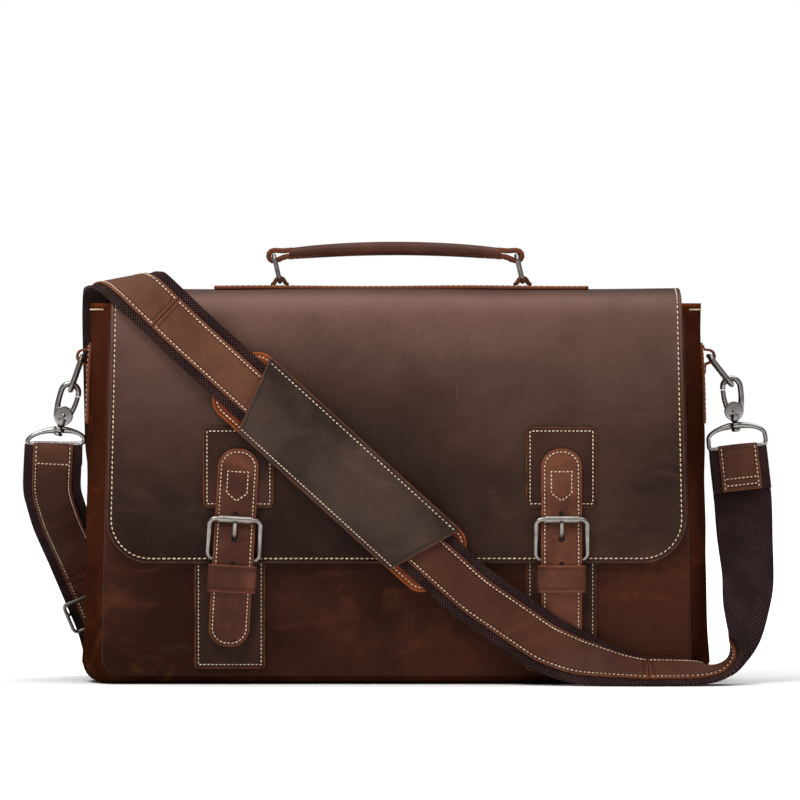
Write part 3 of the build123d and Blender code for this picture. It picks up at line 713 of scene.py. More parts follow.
def weave_group() -> bpy.types.NodeTree:
    """Woven cloth on the piece's own flat coordinates: ribs across and along, offset like
    plain weave, with lighter yarn on their crowns."""
    start = {"Dark": (0.02, 0.01, 0.012), "Light": (0.09, 0.055, 0.06), "Across": 1.6, "Along": 1.3}
    tree, g, given, sink = new_group("plain weave", start, {"Color": "Color", "Height": "Float"})
    flat = g.node("UVMap", None, uv_map="Flat").outputs["UV"]
    parts = g.node("SeparateXYZ", {"Vector": flat})
    across = g.math("DIVIDE", g.math("MULTIPLY", parts.outputs["X"], 1000.0), given["Across"])
    along = g.math("DIVIDE", g.math("MULTIPLY", parts.outputs["Y"], 1000.0), given["Along"])
    wave = g.math("MULTIPLY", g.math("SINE", g.math("MULTIPLY", across, 6.2832)),
                  g.math("SINE", g.math("MULTIPLY", along, 6.2832)))
    warp = g.math("ABSOLUTE", g.math("SINE", g.math("MULTIPLY", across, 6.2832)))
    crown = g.span(g.math("ADD", wave, g.math("MULTIPLY", warp, 0.35)), -0.35, 0.9)
    fuzz = g.noise(g.stretched(flat, (1.0, 1.0, 1.0)), 900.0, 3.0, 0.7)
    worn = g.span(g.noise(flat, 45.0, 3.0), 0.35, 0.7, (0.55, 1.0))
    share = g.math("MULTIPLY", g.math("MULTIPLY", crown, worn), g.span(fuzz, 0.3, 0.7, (0.55, 1.0)))
    g.join(g.mix(share, given["Dark"], given["Light"]), sink.inputs["Color"])
    g.join(g.math("ADD", crown, g.math("MULTIPLY", fuzz, 0.25)), sink.inputs["Height"])
    return tree


def metal_group() -> bpy.types.NodeTree:
    """Handled metal: fine brushing, cloudy tarnish and a few small nicks."""
    start = {"Place": None, "Bright": (0.5, 0.47, 0.43), "Tarnish": (0.16, 0.14, 0.12), "Age": 0.5,
             "Gloss": 0.3}
    tree, g, given, sink = new_group("handled metal", start,
                                     {"Color": "Color", "Roughness": "Float", "Height": "Float"})
    place = given["Place"]
    cloud = g.noise(place, 190.0, 4.0, 0.65, 0.6)
    brushed = g.noise(g.stretched(place, (300.0, 2400.0, 1500.0), (0.1, 0.2, 0.1)), 1.0, 2.0)
    aged = g.math("MULTIPLY", g.span(cloud, 0.42, 0.75), given["Age"])
    colour = g.mix(aged, given["Bright"], given["Tarnish"])
    colour = g.mix(g.span(brushed, 0.3, 0.8, (0.0, 0.25)), colour, given["Tarnish"])
    g.join(colour, sink.inputs["Color"])
    rough = g.math("ADD", given["Gloss"],
                   g.math("ADD", g.math("MULTIPLY", aged, 0.25), g.math("MULTIPLY", brushed, 0.1)))
    g.join(rough, sink.inputs["Roughness"])
    nick = g.span(g.cells(place, 330.0, "F1"), 0.0, 0.12)
    g.join(g.math("ADD", g.math("MULTIPLY", brushed, 0.3), nick), sink.inputs["Height"])
    return tree


class Groups:
    """The shared node groups, each built once."""

    made: dict[str, bpy.types.NodeTree] = {}

    @classmethod
    def get(cls, build: Callable[[], bpy.types.NodeTree]) -> bpy.types.NodeTree:
        """The group that a builder makes."""
        if build.__name__ not in cls.made:
            cls.made[build.__name__] = build()
        return cls.made[build.__name__]


def start_material(name: str, build: Callable[[], bpy.types.NodeTree], values: dict) -> tuple:
    """A material with one shared group in it.

    Args:
        name: the material's name.
        build: the group's builder.
        values: the group's inputs.
    Returns:
        The material, its graph, the group node and the Principled shader.
    """
    material = bpy.data.materials.new(name)
    material.use_nodes = True
    graph = Graph(material.node_tree)
    shader = material.node_tree.nodes["Principled BSDF"]
    group = graph.node("Group", None, node_tree=Groups.get(build))
    if "Place" in group.inputs:
        graph.join(graph.node("TexCoord").outputs["Object"], group.inputs["Place"])
    for label, value in values.items():
        graph.join(value, group.inputs[label])
    graph.join(group.outputs["Color"], shader.inputs["Base Color"])
    if "Roughness" in group.outputs:
        graph.join(group.outputs["Roughness"], shader.inputs["Roughness"])
    return material, graph, group, shader


@dataclass(frozen=True)
class Hide:
    """A waxed leather finish."""

    name: str
    dark: Colour
    mid: Colour
    rubbed: Colour
    raw: Colour = (0.19, 0.045, 0.0105)
    cloud: float = 9.0
    wear: float = 0.5
    sewn: float = 2.6
    relief: float = 0.00022
    gloss: float = 0.13

    def make(self) -> bpy.types.Material:
        """Builds the material."""
        values = {"Dark": self.dark, "Mid": self.mid, "Rubbed": self.rubbed, "Raw": self.raw,
                  "Cloud": self.cloud, "Wear": self.wear, "Sewn": self.sewn}
        material, graph, group, shader = start_material(self.name, hide_group, values)
        bump = graph.node("Bump", {"Height": group.outputs["Height"], "Distance": self.relief,
                                   "Strength": 0.9})
        graph.join(bump.outputs["Normal"], shader.inputs["Normal"])
        shader.inputs["Specular IOR Level"].default_value = self.gloss
        return material


@dataclass(frozen=True)
class Cloth:
    """A woven finish on flat coordinates."""

    name: str
    dark: Colour
    light: Colour
    across: float = 1.7
    along: float = 1.5
    relief: float = 0.0003

    def make(self) -> bpy.types.Material:
        """Builds the material."""
        values = {"Dark": self.dark, "Light": self.light, "Across": self.across, "Along": self.along}
        material, graph, group, shader = start_material(self.name, weave_group, values)
        bump = graph.node("Bump", {"Height": group.outputs["Height"], "Distance": self.relief,
                                   "Strength": 1.0})
        graph.join(bump.outputs["Normal"], shader.inputs["Normal"])
        shader.inputs["Roughness"].default_value = 0.88
        shader.inputs["Specular IOR Level"].default_value = 0.08
        return material


@dataclass(frozen=True)
class Metal:
    """A plated and handled metal finish."""

    name: str
    bright: Colour
    tarnish: Colour
    age: float = 0.5
    gloss: float = 0.28

    def make(self) -> bpy.types.Material:
        """Builds the material."""
        values = {"Bright": self.bright, "Tarnish": self.tarnish, "Age": self.age, "Gloss": self.gloss}
        material, graph, group, shader = start_material(self.name, metal_group, values)
        bump = graph.node("Bump", {"Height": group.outputs["Height"], "Distance": 0.00005,
                                   "Strength": 0.6})
        graph.join(bump.outputs["Normal"], shader.inputs["Normal"])
        shader.inputs["Metallic"].default_value = 1.0
        return material


@dataclass(frozen=True)
class Yarn:
    """Waxed sewing thread."""

    name: str
    pale: Colour
    soiled: Colour

    def make(self) -> bpy.types.Material:
        """Builds the material: soiling from stitch to stitch, and the twist of the yarn."""
        material = bpy.data.materials.new(self.name)
        material.use_nodes = True
        g = Graph(material.node_tree)
        shader = material.node_tree.nodes["Principled BSDF"]
        place = g.node("TexCoord").outputs["Object"]
        soil = g.noise(place, 210.0, 3.0, 0.6)
        g.join(g.mix(g.span(soil, 0.35, 0.72), self.pale, self.soiled), shader.inputs["Base Color"])
        twist = g.noise(g.stretched(place, (3200.0, 3200.0, 3200.0)), 1.0, 2.0)
        bump = g.node("Bump", {"Height": twist, "Distance": 0.0001, "Strength": 0.5})
        g.join(bump.outputs["Normal"], shader.inputs["Normal"])
        shader.inputs["Roughness"].default_value = 0.7
        return material


class Look(Enum):
    """Every finish on the bag."""

    FLAP = Hide("flap hide", (0.0145, 0.0052, 0.0029), (0.048, 0.0215, 0.0152),
                (0.165, 0.085, 0.064), (0.10, 0.030, 0.0125), cloud=7.0, wear=0.12, gloss=0.09)
    BODY = Hide("body hide", (0.0190, 0.0043, 0.0015), (0.056, 0.0148, 0.0062),
                (0.130, 0.037, 0.0125), cloud=8.0, wear=0.40, gloss=0.08)
    GUSSET = Hide("gusset hide", (0.0200, 0.0050, 0.0020), (0.052, 0.0140, 0.0062),
                  (0.120, 0.034, 0.0130), cloud=9.0, wear=0.4, gloss=0.0)
    STRAP = Hide("strap hide", (0.036, 0.0095, 0.0042), (0.074, 0.0240, 0.0125),
                 (0.200, 0.082, 0.043), cloud=14.0, wear=0.28, gloss=0.10)
    CLOSURE = Hide("closure hide", (0.052, 0.0150, 0.0072), (0.150, 0.0480, 0.0250),
                   (0.260, 0.098, 0.050), cloud=24.0, wear=0.4)
    HANDLE = Hide("handle hide", (0.044, 0.0140, 0.0075), (0.098, 0.0340, 0.0190),
                  (0.185, 0.070, 0.038), (0.13, 0.035, 0.012), cloud=18.0, wear=0.45)
    PATCH = Hide("patch hide", (0.0220, 0.0070, 0.0036), (0.048, 0.0170, 0.0096),
                 (0.100, 0.038, 0.022), cloud=20.0, wear=0.35)
    COVER = Hide("pad cover hide", (0.0200, 0.0108, 0.0076), (0.054, 0.0300, 0.0228),
                 (0.105, 0.060, 0.043), cloud=16.0, wear=0.3)
    TAN = Hide("pad hide", (0.095, 0.015, 0.0025), (0.195, 0.036, 0.0062), (0.30, 0.070, 0.014),
               (0.30, 0.080, 0.018), cloud=18.0)
    SUEDE = Hide("flap inside", (0.060, 0.024, 0.0120), (0.100, 0.043, 0.021), (0.13, 0.06, 0.032),
                 cloud=30.0, wear=0.3, gloss=0.1)
    WEBBING = Cloth("dark webbing", (0.0030, 0.0012, 0.0012), (0.100, 0.047, 0.046), 2.3, 2.1, 0.0005)
    LINING = Cloth("lining twill", (0.055, 0.040, 0.029), (0.12, 0.09, 0.065), 0.9, 0.9, 0.00012)
    BUCKLE = Metal("brushed nickel", (0.31, 0.285, 0.26), (0.09, 0.075, 0.065), 0.6, 0.25)
    RING = Metal("dark nickel", (0.24, 0.22, 0.20), (0.06, 0.052, 0.045), 0.6, 0.26)
    HOOK = Metal("polished nickel", (0.30, 0.285, 0.27), (0.08, 0.072, 0.065), 0.5, 0.17)
    THREAD = Yarn("cream thread", (0.78, 0.60, 0.42), (0.50, 0.32, 0.18))
    # Painted shade: the near-black colour of the punched holes stands for the shadow inside them.
    HOLE_SHADE = Hide("painted hole shade", (0.006, 0.003, 0.002), (0.010, 0.004, 0.003), (0.02, 0.008, 0.005),
               (0.02, 0.008, 0.004))

    @property
    def material(self) -> bpy.types.Material:
        """The finish's material, built once."""
        return bpy.data.materials.get(self.value.name) or self.value.make()


@dataclass(frozen=True)
class Ride:
    """How a piece moves: with one body; a piece given a second body and two points only has its transform
    baked into its mesh.
    """

    body: Body | str
    other: Optional[Body] = None
    start: tuple[float, float, float] = (0.0, 0.0, 0.0)
    end: tuple[float, float, float] = (0.0, 0.0, 0.0)

    def give(self, piece: bpy.types.Object) -> None:
        """Attaches a piece to its one body; with a second body given, only bakes the piece's transform into
        its mesh.
        """
        body = self.body.value if isinstance(self.body, Body) else self.body
        if self.other is None:
            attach(piece, body)
            return
        start, end = (tuple(MM * value for value in point) for point in (self.start, self.end))
        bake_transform(piece)
        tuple(start)
        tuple(end)


def dress(form: Form, name: str, look: Look, slot: Slot, ride: Ride,
          stands_for: Sequence[str] = ()) -> bpy.types.Object:
    """Builds a piece, gives it its finish and its body, and reports it.

    Args:
        form: the shape.
        name: the piece's name.
        look: its finish.
        slot: the record's slot for it; not used.
        ride: how it moves.
        stands_for: the CAD nodes that it stands for.
    Returns:
        The piece.
    """
    piece = form.build(name)
    piece.data.materials.append(look.material)
    ride.give(piece)
    if stands_for:
        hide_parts(*stands_for)
    LOG.info("%s: %d faces on %s", name, len(form.quads), ride.body)
    return piece


# ---------------------------------------------------------------- the bag

FRONT, BACK, ACROSS, DEEP, HIGH = (0, -1, 0), (0, 1, 0), (1, 0, 0), (0, 1, 0), (0, 0, 1)


def waves(x: Array, z: Array, height: float = 1.0) -> Array:
    """Slow swells of handled leather: three long sine products of unlike lengths, in mm."""
    return height * (0.5 * np.sin(x / 41.0 + 1.3) * np.sin(z / 33.0 + 0.4)
                     + 0.3 * np.sin(x / 23.0 + z / 29.0) + 0.2 * np.sin(x / 13.0 - z / 17.0 + 2.0))


@dataclass
class BagBody:
    """Panels, gusset, lining and the pieces inside."""

    foot_half: float = 192.0
    top_half: float = 187.0
    mouth_z: float = 247.8
    base_lift: float = 5.0
    half_depth: float = 55.0
    bow: float = 13.0
    corner: float = 13.0
    panel_thick: float = 4.2
    gusset_thick: float = 2.0
    flat_half: float = 42.0
    ride: Ride = Ride(Body.BAG)

    def half_at(self, z: Array) -> Array:
        """Half width of the panels at a height, from foot to mouth."""
        return np.interp(z, [self.base_lift, self.mouth_z], [self.foot_half, self.top_half])

    def panel(self, back: bool) -> Cut:
        """One panel: an upright run, wider at the foot, with a slight belly."""
        y = (self.half_depth - self.panel_thick / 2) * (1 if back else -1)
        foot, top = (0, y, self.base_lift), (0, y, self.mouth_z - (0.4 if back else 8.0))
        run = Run.through([foot, top] if back else [top, foot], ACROSS)
        height = top[2] - foot[2]

        def z_of(s: Array) -> Array:
            return foot[2] + s if back else top[2] - s

        def belly(x: Array, s: Array) -> Array:
            z = z_of(s)
            full = (1 - (x / self.foot_half) ** 2) * np.sin(np.pi * np.clip((z - foot[2]) / height, 0, 1))
            edge = np.clip((self.foot_half - np.abs(x)) / 40, 0, 1)
            return 1.1 * full + waves(x, z, 0.7) * edge

        corner = (self.corner, 0.0) if back else (0.0, self.corner)
        return Cut(run, lambda s: self.half_at(z_of(s)), self.panel_thick, corner=corner,
                   roll=self.panel_thick / 2 - 0.05, warp=belly)

    def strip(self, inset: float, thick: float, top_z: float, deep: float, wavy: float) -> Form:
        """The strip round both sides and the base.

        Each section is a line down one side, round a quarter circle, along the base and up
        again. Across the depth the sides bow out as a parabola, the base curls up to the
        panels, and the edge tucks in at the seams.

        Args:
            inset: distance in from the gusset's outer face.
            thick: the stock's thickness.
            top_z: height of its top edge.
            deep: half depth that it covers.
            wavy: height of the soft swells.
        Returns:
            The form.
        """
        t = np.concatenate([np.linspace(-1, -0.8, 7), np.linspace(-0.8, 0.8, 29)[1:-1],
                            np.linspace(0.8, 1, 7)])
        turn = np.linspace(0, np.pi / 2, 12)
        layers = []
        for gap in (inset, inset + thick):
            y = t[:, None] * deep
            bow = self.bow * (1 - t[:, None] ** 2)
            tuck = 2.4 * np.clip((np.abs(y) - self.half_depth + 7.5) / 3.0, 0, 1) ** 2 + gap
            curl = np.clip((np.abs(y) - self.flat_half) / (self.half_depth - self.flat_half), 0, 1)
            low = self.base_lift * curl ** 1.6 + gap
            radius = self.corner
            z = np.linspace(top_z, 0, 70)[None]
            z = low + radius + (top_z - low - radius) * z / top_z
            side = self.half_at(z) + bow - tuck
            ripple = waves(z * 1.7, y * 2.0 + 40, wavy) * np.clip((1 - np.abs(t[:, None])) * 4, 0, 1)
            left = np.stack([-(side + ripple), np.broadcast_to(y, z.shape), z], axis=-1)
            foot = self.foot_half + bow - tuck
            centre_x, centre_z = foot - radius, low + radius
            arc_x = -(centre_x + radius * np.cos(turn)[None])
            arc_z = centre_z - radius * np.sin(turn)[None]
            arc = np.stack([arc_x, np.broadcast_to(y, arc_x.shape), arc_z], axis=-1)[:, 1:]
            base_x = np.linspace(-1, 1, 90)[None, 1:-1] * centre_x
            base = np.stack([base_x, np.broadcast_to(y, base_x.shape),
                             np.broadcast_to(low, base_x.shape)], axis=-1)
            mirror = np.array([-1.0, 1.0, 1.0])
            layers.append(np.concatenate([left, arc, base, arc[:, ::-1] * mirror,
                                          left[:, ::-1] * mirror], axis=1))
        outer, inner = (layer.transpose(1, 0, 2) for layer in layers)
        points = np.concatenate([outer, inner[:, ::-1]], axis=1)
        rows, ring = points.shape[:2]
        index = np.arange(rows * ring).reshape(rows, ring)
        quads = np.concatenate([tube_quads(rows, ring), cap_quads(index[0]),
                                cap_quads(index[-1])[:, ::-1]])
        place = travelled(outer[:, len(t) // 2])
        across = np.concatenate([t, t[::-1]]) * deep
        flat = np.stack([np.tile(across, (rows, 1)), np.repeat(place[:, None], ring, axis=1)], axis=-1)
        ends = np.minimum(place, place[-1] - place)
        rim = np.repeat((ends < 0.1)[:, None] * 1.0, ring, axis=1)
        inset_map = np.minimum(np.repeat(ends[:, None], ring, axis=1), 20)
        return Form(points.reshape(-1, 3), quads, flat.reshape(-1, 2), inset_map.ravel(),
                    rim.ravel()).outward()

    def mouth_seam(self, side: Side) -> Form:
        """Stitches under the top edge of the gusset on one side."""
        y = np.linspace(-46, 46, 40) * side.sign
        x = side.sign * (self.half_at(self.mouth_z) + self.bow * (1 - (y / 52.6) ** 2) + 0.1)
        run = Run.through(np.stack([x, y, np.full(40, self.mouth_z - 4.0)], axis=1), HIGH)
        return Thread().sew(Cut(run, 3.0, 0.1), np.array([[0.0, 1.0], [0.0, run.length - 1]]))

    def build(self) -> None:
        """Makes the body's pieces."""
        dress(self.panel(False).form(60, 4).turned_in(), "front_panel_leather", Look.BODY,
              Slot.BODY, self.ride, ["front_panel"])
        dress(self.panel(True).form(60, 4).turned_in(), "back_panel_leather", Look.BODY, Slot.BODY,
              self.ride, ["back_panel"])
        gusset = self.strip(0.0, self.gusset_thick, self.mouth_z, 52.6, 0.9)
        dress(gusset, "gusset_leather", Look.GUSSET, Slot.BODY, self.ride, ["gusset"])
        seams = Form.joined([self.mouth_seam(side) for side in Side])
        dress(seams, "gusset_thread", Look.THREAD, Slot.BODY, self.ride)
        self.build_inside()

    def build_inside(self) -> None:
        """Makes the lining, the padded divider and the slip pocket."""
        strip = self.strip(3.2, 1.0, self.mouth_z - 2, 49.6, 0.9)
        walls = []
        for y in (-49.4, 49.4):
            run = Run.through([(0, y, 9), (0, y, self.mouth_z - 10)], ACROSS)
            walls.append(Cut(run, 183.0, 1.0, corner=(9, 0), warp=lambda x,
                             s: waves(x, s, 0.5)).form(40, 6))
        lining = dress(Form.joined([strip] + walls), "lining_cloth", Look.LINING, Slot.LINING,
                       self.ride, ["lining"])
        run = Run.through([(0, 18, 9.5), (0, 18, 205)], ACROSS)
        soft = Cut(run, 182.0, 7.6, corner=(9, 9), roll=3.6,
                   warp=lambda x, s: 0.5 * np.sin(x / 30.0) * np.sin(s / 32.0))
        divider = dress(soft.form(50, 5), "padded_divider", Look.LINING, Slot.LINING, self.ride,
                        ["laptop_divider"])
        run = Run.through([(0, -48.2, 95), (0, -48.2, 215)], ACROSS)
        pocket = Cut(run, 95.0, 1.4, corner=(6, 0))
        dress(pocket.form(24, 5), "slip_pocket_cloth", Look.LINING, Slot.LINING, self.ride,
              ["slip_pocket"])


@dataclass
class Flap:
    """The flap from its sewn tail over the crest and down the front, and its lining."""

    crest_z: float = 257.6
    crest_radius: float = 230.0
    fold_radius: float = 14.0
    front_y: float = -60.8
    foot_z: float = 79.0
    tail_z: float = 205.8
    tail_y: float = 56.4
    top_half: float = 185.5
    foot_half: float = 189.0
    thick: float = 2.4
    corner: float = 29.0
    ride: Ride = Ride(Body.FLAP, Body.BAG, (0, 40, 0), (0, 54.8, 0))

    def run(self) -> Run:
        """Side view of the middle of the leather: up the back, over the crest, down the front."""
        centre_z = self.crest_z - self.crest_radius
        radius, fold = self.crest_radius - self.thick / 2, self.fold_radius - self.thick / 2
        fold_y = self.front_y + self.fold_radius
        fold_z = centre_z + np.sqrt((self.crest_radius - self.fold_radius) ** 2 - fold_y ** 2)
        turn = np.arctan2(fold_z - centre_z, -fold_y)
        y = np.linspace(46, -radius * np.cos(turn), 60)
        crest = np.stack([y, centre_z + np.sqrt(radius ** 2 - y ** 2)], axis=1)
        phi = np.linspace(turn, 0, 16)[1:]
        front = np.stack([fold_y - fold * np.cos(phi), fold_z + fold * np.sin(phi)], axis=1)
        tail = np.array([(self.tail_y, self.tail_z), (self.tail_y, self.mouth_z)])
        foot = np.array([(self.front_y + self.thick / 2, self.foot_z)])
        side = np.concatenate([tail, crest, front, foot])
        return Run.through(np.insert(side, 0, 0.0, axis=1), ACROSS, spread=2.0)

    mouth_z: float = 249.0

    def cut(self) -> Cut:
        """The flap's leather."""
        run = self.run()
        front = run.length - (self.crest_z - self.foot_z) * 0.94

        def half(s: Array) -> Array:
            return np.interp(s, [front, run.length], [self.top_half, self.foot_half])

        def swell(x: Array, s: Array) -> Array:
            drop = np.clip((s - front) / (run.length - front), 0, 1)
            top = np.clip((s - 60) / 30, 0, 1) * (1 - drop)
            return waves(x, s, 0.45) * np.clip(drop * 3, 0, 1) + 0.5 * top * np.sin(x / 37.0 + s / 60.0)

        return Cut(run, half, self.thick, corner=(3.0, self.corner), warp=swell)

    @staticmethod
    def rubbed(points: Array) -> Array:
        """Painted sheen standing for the top light, with some pale pull-up rubbing, on the front fold and
        the crest, from the height in mm and paler towards the front.
        """
        high = np.clip((points[:, 2] - 95) / 150, 0, 1) ** 2.2
        return high * np.clip((-20 - points[:, 1]) / 30, 0.35, 1)

    def build(self) -> None:
        """Makes the flap, its border stitches, its lining and the strip on its crest."""
        cut = self.cut()
        piece = dress(cut.form(90, 2.5), "flap_leather", Look.FLAP, Slot.FLAP, self.ride,
                      ["flap", "flap_yoke"])
        # Painted sheen: the flap is painted paler towards the top and front, standing for the top light,
        # with some pull-up rubbing.
        paint(piece, "rub", self.rubbed)
        seam = Thread(pitch=3.3, width=0.8).sew(cut, cut.border(3.0))
        tail = self.crest_z - self.tail_z
        across = np.array([[-self.top_half + 4, tail - 16.0], [self.top_half - 4, tail - 16.0]])
        seams = Form.joined([seam, Thread(pitch=3.3, width=0.8).sew(cut, across, seed=7)])
        dress(seams, "flap_thread", Look.THREAD, Slot.FLAP, self.ride)
        lining = replace(cut, thick=0.6, lift=-1.55, start=75.0, end=cut.end - 4.5, corner=(2.0, 26.0),
                         half=lambda s: cut.side(s) - 4.5)
        dress(lining.form(60, 3), "flap_inside", Look.SUEDE, Slot.FLAP, self.ride, ["flap_lining"])
        self.build_strip()

    def build_strip(self) -> None:
        """Makes the sewn strip along the crest, in two layers, and its stitches."""
        run = Run.through([(-119, 0, 258.5), (126, 0, 258.5)], DEEP)
        strip = Cut(run, 17.0, 1.9, corner=(4, 4), warp=lambda x,
                    s: -0.0022 * x ** 2 + 0.25 * np.sin(s / 21.0))
        dress(strip.form(10, 4), "crest_strip_leather", Look.CLOSURE, Slot.FLAP, Ride(Body.FLAP),
              ["top_strip"])
        dress(Thread(pitch=3.6).sew(strip, strip.border(2.6)), "crest_strip_thread", Look.THREAD,
              Slot.FLAP, Ride(Body.FLAP))


def paint(piece: bpy.types.Object, label: str, rule: Callable[[Array], Array]) -> None:
    """Adds a point attribute worked out from the vertices' places in mm."""
    count = len(piece.data.vertices)
    flat = np.empty(3 * count, np.float32)
    piece.data.vertices.foreach_get("co", flat)
    values = rule(flat.reshape(-1, 3) / MM).astype(np.float32)
    piece.data.attributes.new(label, "FLOAT", "POINT").data.foreach_set("value", values)


@dataclass
class Closure:
    """One buckled closure: patch, strap, keeper, chape, base patch and metal."""

    side: Side
    middle_z: float = 141.25
    half: float = 13.25
    thick: float = 2.2
    patch_face: float = -62.8
    ride: Ride = Ride(Body.FLAP)

    @property
    def axis_x(self) -> float:
        """Where the closure's axis crosses the middle of its patch."""
        return (-102.7, 107.2)[self.side.value]

    def placed(self, x: Array | float, y: Array | float, z: Array | float) -> Array:
        """Points of the closure's own upright frame, leaned about the middle of the patch."""
        lean = np.radians((3.3, 0.0)[self.side.value])
        rise = np.asarray(z, float) - self.middle_z
        x, y, rise = np.broadcast_arrays(np.asarray(x, float), np.asarray(y, float), rise)
        return np.stack([self.axis_x + x * np.cos(lean) + rise * np.sin(lean), y,
                         self.middle_z - x * np.sin(lean) + rise * np.cos(lean)], axis=-1)

    @property
    def across(self) -> Array:
        """The way across the strap."""
        return self.placed(1.0, 0.0, 0.0) - self.placed(0.0, 0.0, 0.0)

    def plate(self, x: float, top: float, foot: float, face: float, thick: float, corner: float) -> Cut:
        """A sewn-on upright patch with rounded corners."""
        y = face + thick / 2
        run = Run.through([(x, y, top), (x, y, foot)], ACROSS)
        return Cut(run, 23.0, thick, corner=(corner, corner))

    def strap(self) -> Cut:
        """The closure strap: flat on the patch, out over the buckle's bar, and in to the snap."""
        y = np.array([-63.9, -63.9, -68.6, -68.6, -65.3, -65.3])
        z = np.array([153.5, 113.0, 89.0, 59.0, 49.0, 24.8])
        run = Run.through(self.placed(0.0, y, z), self.across, spread=4.0)
        return Cut(run, self.half, self.thick, corner=(12.2, 12.2),
                   warp=lambda x, s: 0.35 * (1 - (x / 13.25) ** 2) + 0.15 * np.sin(s / 9.0))

    def pits(self, strap: Cut) -> Form:
        """Punched holes: shallow dishes in near-black painted shade, standing for the shadow inside each
        hole, each a ring of six rows about its centre.
        """
        top = 153.5
        dishes = []
        for z in (111.5, 79.0, 63.0, 95.0):
            turn = np.linspace(0, 2 * np.pi, 17)[:-1]
            rings = np.array([1.75, 1.6, 1.3, 0.9, 0.4, 0.02])
            lift = self.thick / 2 + np.array([-0.15, 0.10, 0.02, -0.05, -0.1, -0.1]) + 0.1
            radius = rings * (1.25 if z == 95.0 else 1.0)
            x = radius[:, None] * np.cos(turn)[None]
            s = (top - z) * 1.012 + radius[:, None] * np.sin(turn)[None]
            points = strap.locate(x, s, np.repeat(lift[:, None], 16, axis=1))
            zero = np.zeros(6 * 16)
            quads = tube_quads(6, 16)
            normal = np.cross(points[0, 0] - points[-1, 0], points[0, 4] - points[-1, 0])
            quads = quads if normal[1] > 0 else quads[:, ::-1]
            dishes.append(Form(points.reshape(-1, 3), quads, zero[:, None].repeat(2, 1), zero + 5, zero))
        return Form.joined(dishes)

    def notch_line(self) -> Array:
        """The closed seam on the upper strap: a plain box with a pointed foot, as (x, s)."""
        corners = np.array([(0.0, 15.0), (6.6, 15.0), (6.6, 29.0), (0.0, 34.0), (-6.6, 29.0),
                            (-6.6, 15.0), (0.0, 15.0)])
        gone = travelled(corners)
        at = np.linspace(0, gone[-1], 80)
        return resampled(corners, gone, at)

    def keeper(self) -> Cut:
        """The keeper: a band round the strap, with a soft top edge."""
        front, back, wide = -71.0, -65.2, self.half + 1.6
        loop = [(0, back), (-wide + 1, back), (-wide, back - 1), (-wide, front + 1.2),
                (-wide + 1.2, front), (0, front - 0.5),
                (wide - 1.2, front), (wide, front + 1.2), (wide, back - 1), (wide - 1, back), (0, back)]
        points = np.array([self.placed(x, y, 68.9) for x, y in loop])
        up = self.placed(0.0, 0.0, 1.0) - self.placed(0.0, 0.0, 0.0)
        run = Run.through(points, up, spread=1.2, step=0.7)
        return Cut(run, 8.9, 1.9, warp=lambda x, s: 0.25 * (1 - (x / 8.9) ** 2))

    def chape(self) -> Cut:
        """The short leather that holds the buckle's bar behind the strap."""
        turn = np.linspace(np.pi, -0.3, 9)
        y = np.concatenate([[-66.9, -66.9], -64.1 + 2.5 * np.cos(turn)])
        z = np.concatenate([[61.0, 79.0], 81.5 + 2.5 * np.sin(turn)])
        run = Run.through(self.placed(0.0, y, z), self.across, step=0.7)
        return Cut(run, 10.0, 1.2)

    def prong(self) -> Form:
        """The prong: a flat-sided bar from the heel bar, out of its hole and over the roller."""
        y = np.array([-64.1, -63.2, -69.6, -72.0, -72.4])
        z = np.array([83.2, 92.6, 97.6, 101.5, 105.4])
        line = Run.through(self.placed(0.0, y, z), self.across, spread=1.4, step=0.5).centre
        radius = np.interp(np.linspace(0, 1, len(line)), [0, 0.5, 1], [1.6, 1.6, 1.2])
        return swept(line, radius, 12, squash=0.75, side=self.across)

    def build(self) -> None:
        """Makes the closure's pieces and names the nodes that they stand for."""
        word = self.side.word
        lean_shift = (-5.6, 0.0)[self.side.value]
        patch = self.plate(self.axis_x, 167.5, 115.0, self.patch_face, 2.0, 3.5)
        foot = (10.4, 9.0)[self.side.value]
        base = self.plate(self.axis_x + lean_shift, 100.0, foot, -57.9, 2.6, 2.5)
        strap = self.strap()
        keeper = self.keeper()
        dress(patch.form(14, 4), f"{word}_flap_patch_leather", Look.PATCH, Slot.FLAP, self.ride,
              [f"{word}_flap_patch"])
        dress(base.form(14, 4), f"{word}_base_patch_leather", Look.PATCH, Slot.BODY, Ride(Body.BAG),
              [f"{word}_base_patch"])
        dress(strap.form(10, 2), f"{word}_closure_strap_leather", Look.CLOSURE, Slot.STRAP,
              self.ride, [f"{word}_closure_strap"])
        dress(keeper.form(8, 1.2), f"{word}_keeper_leather", Look.CLOSURE, Slot.STRAP, self.ride,
              [f"{word}_strap_keeper"])
        dress(self.chape().form(6, 1.5), f"{word}_chape_leather", Look.CLOSURE, Slot.STRAP,
              self.ride, [f"{word}_buckle_chape"])
        dress(self.prong(), f"{word}_prong_bar", Look.BUCKLE, Slot.BUCKLE, Ride(f"{word}_prong"),
              [f"{word}_buckle_prong"])
        dress(self.pits(strap), f"{word}_strap_holes", Look.HOLE_SHADE, Slot.STRAP, self.ride)
        fine = Thread(pitch=2.6, width=0.7, height=0.45)
        seams = [fine.sew(patch, patch.border(2.6)), fine.sew(strap, strap.border(2.3), seed=3),
                 fine.sew(strap, self.notch_line(), seed=5)]
        dress(Form.joined(seams), f"{word}_closure_thread", Look.THREAD, Slot.STRAP, self.ride)
        dress(fine.sew(base, base.border(2.6)), f"{word}_base_patch_thread", Look.THREAD, Slot.BODY,
              Ride(Body.BAG))


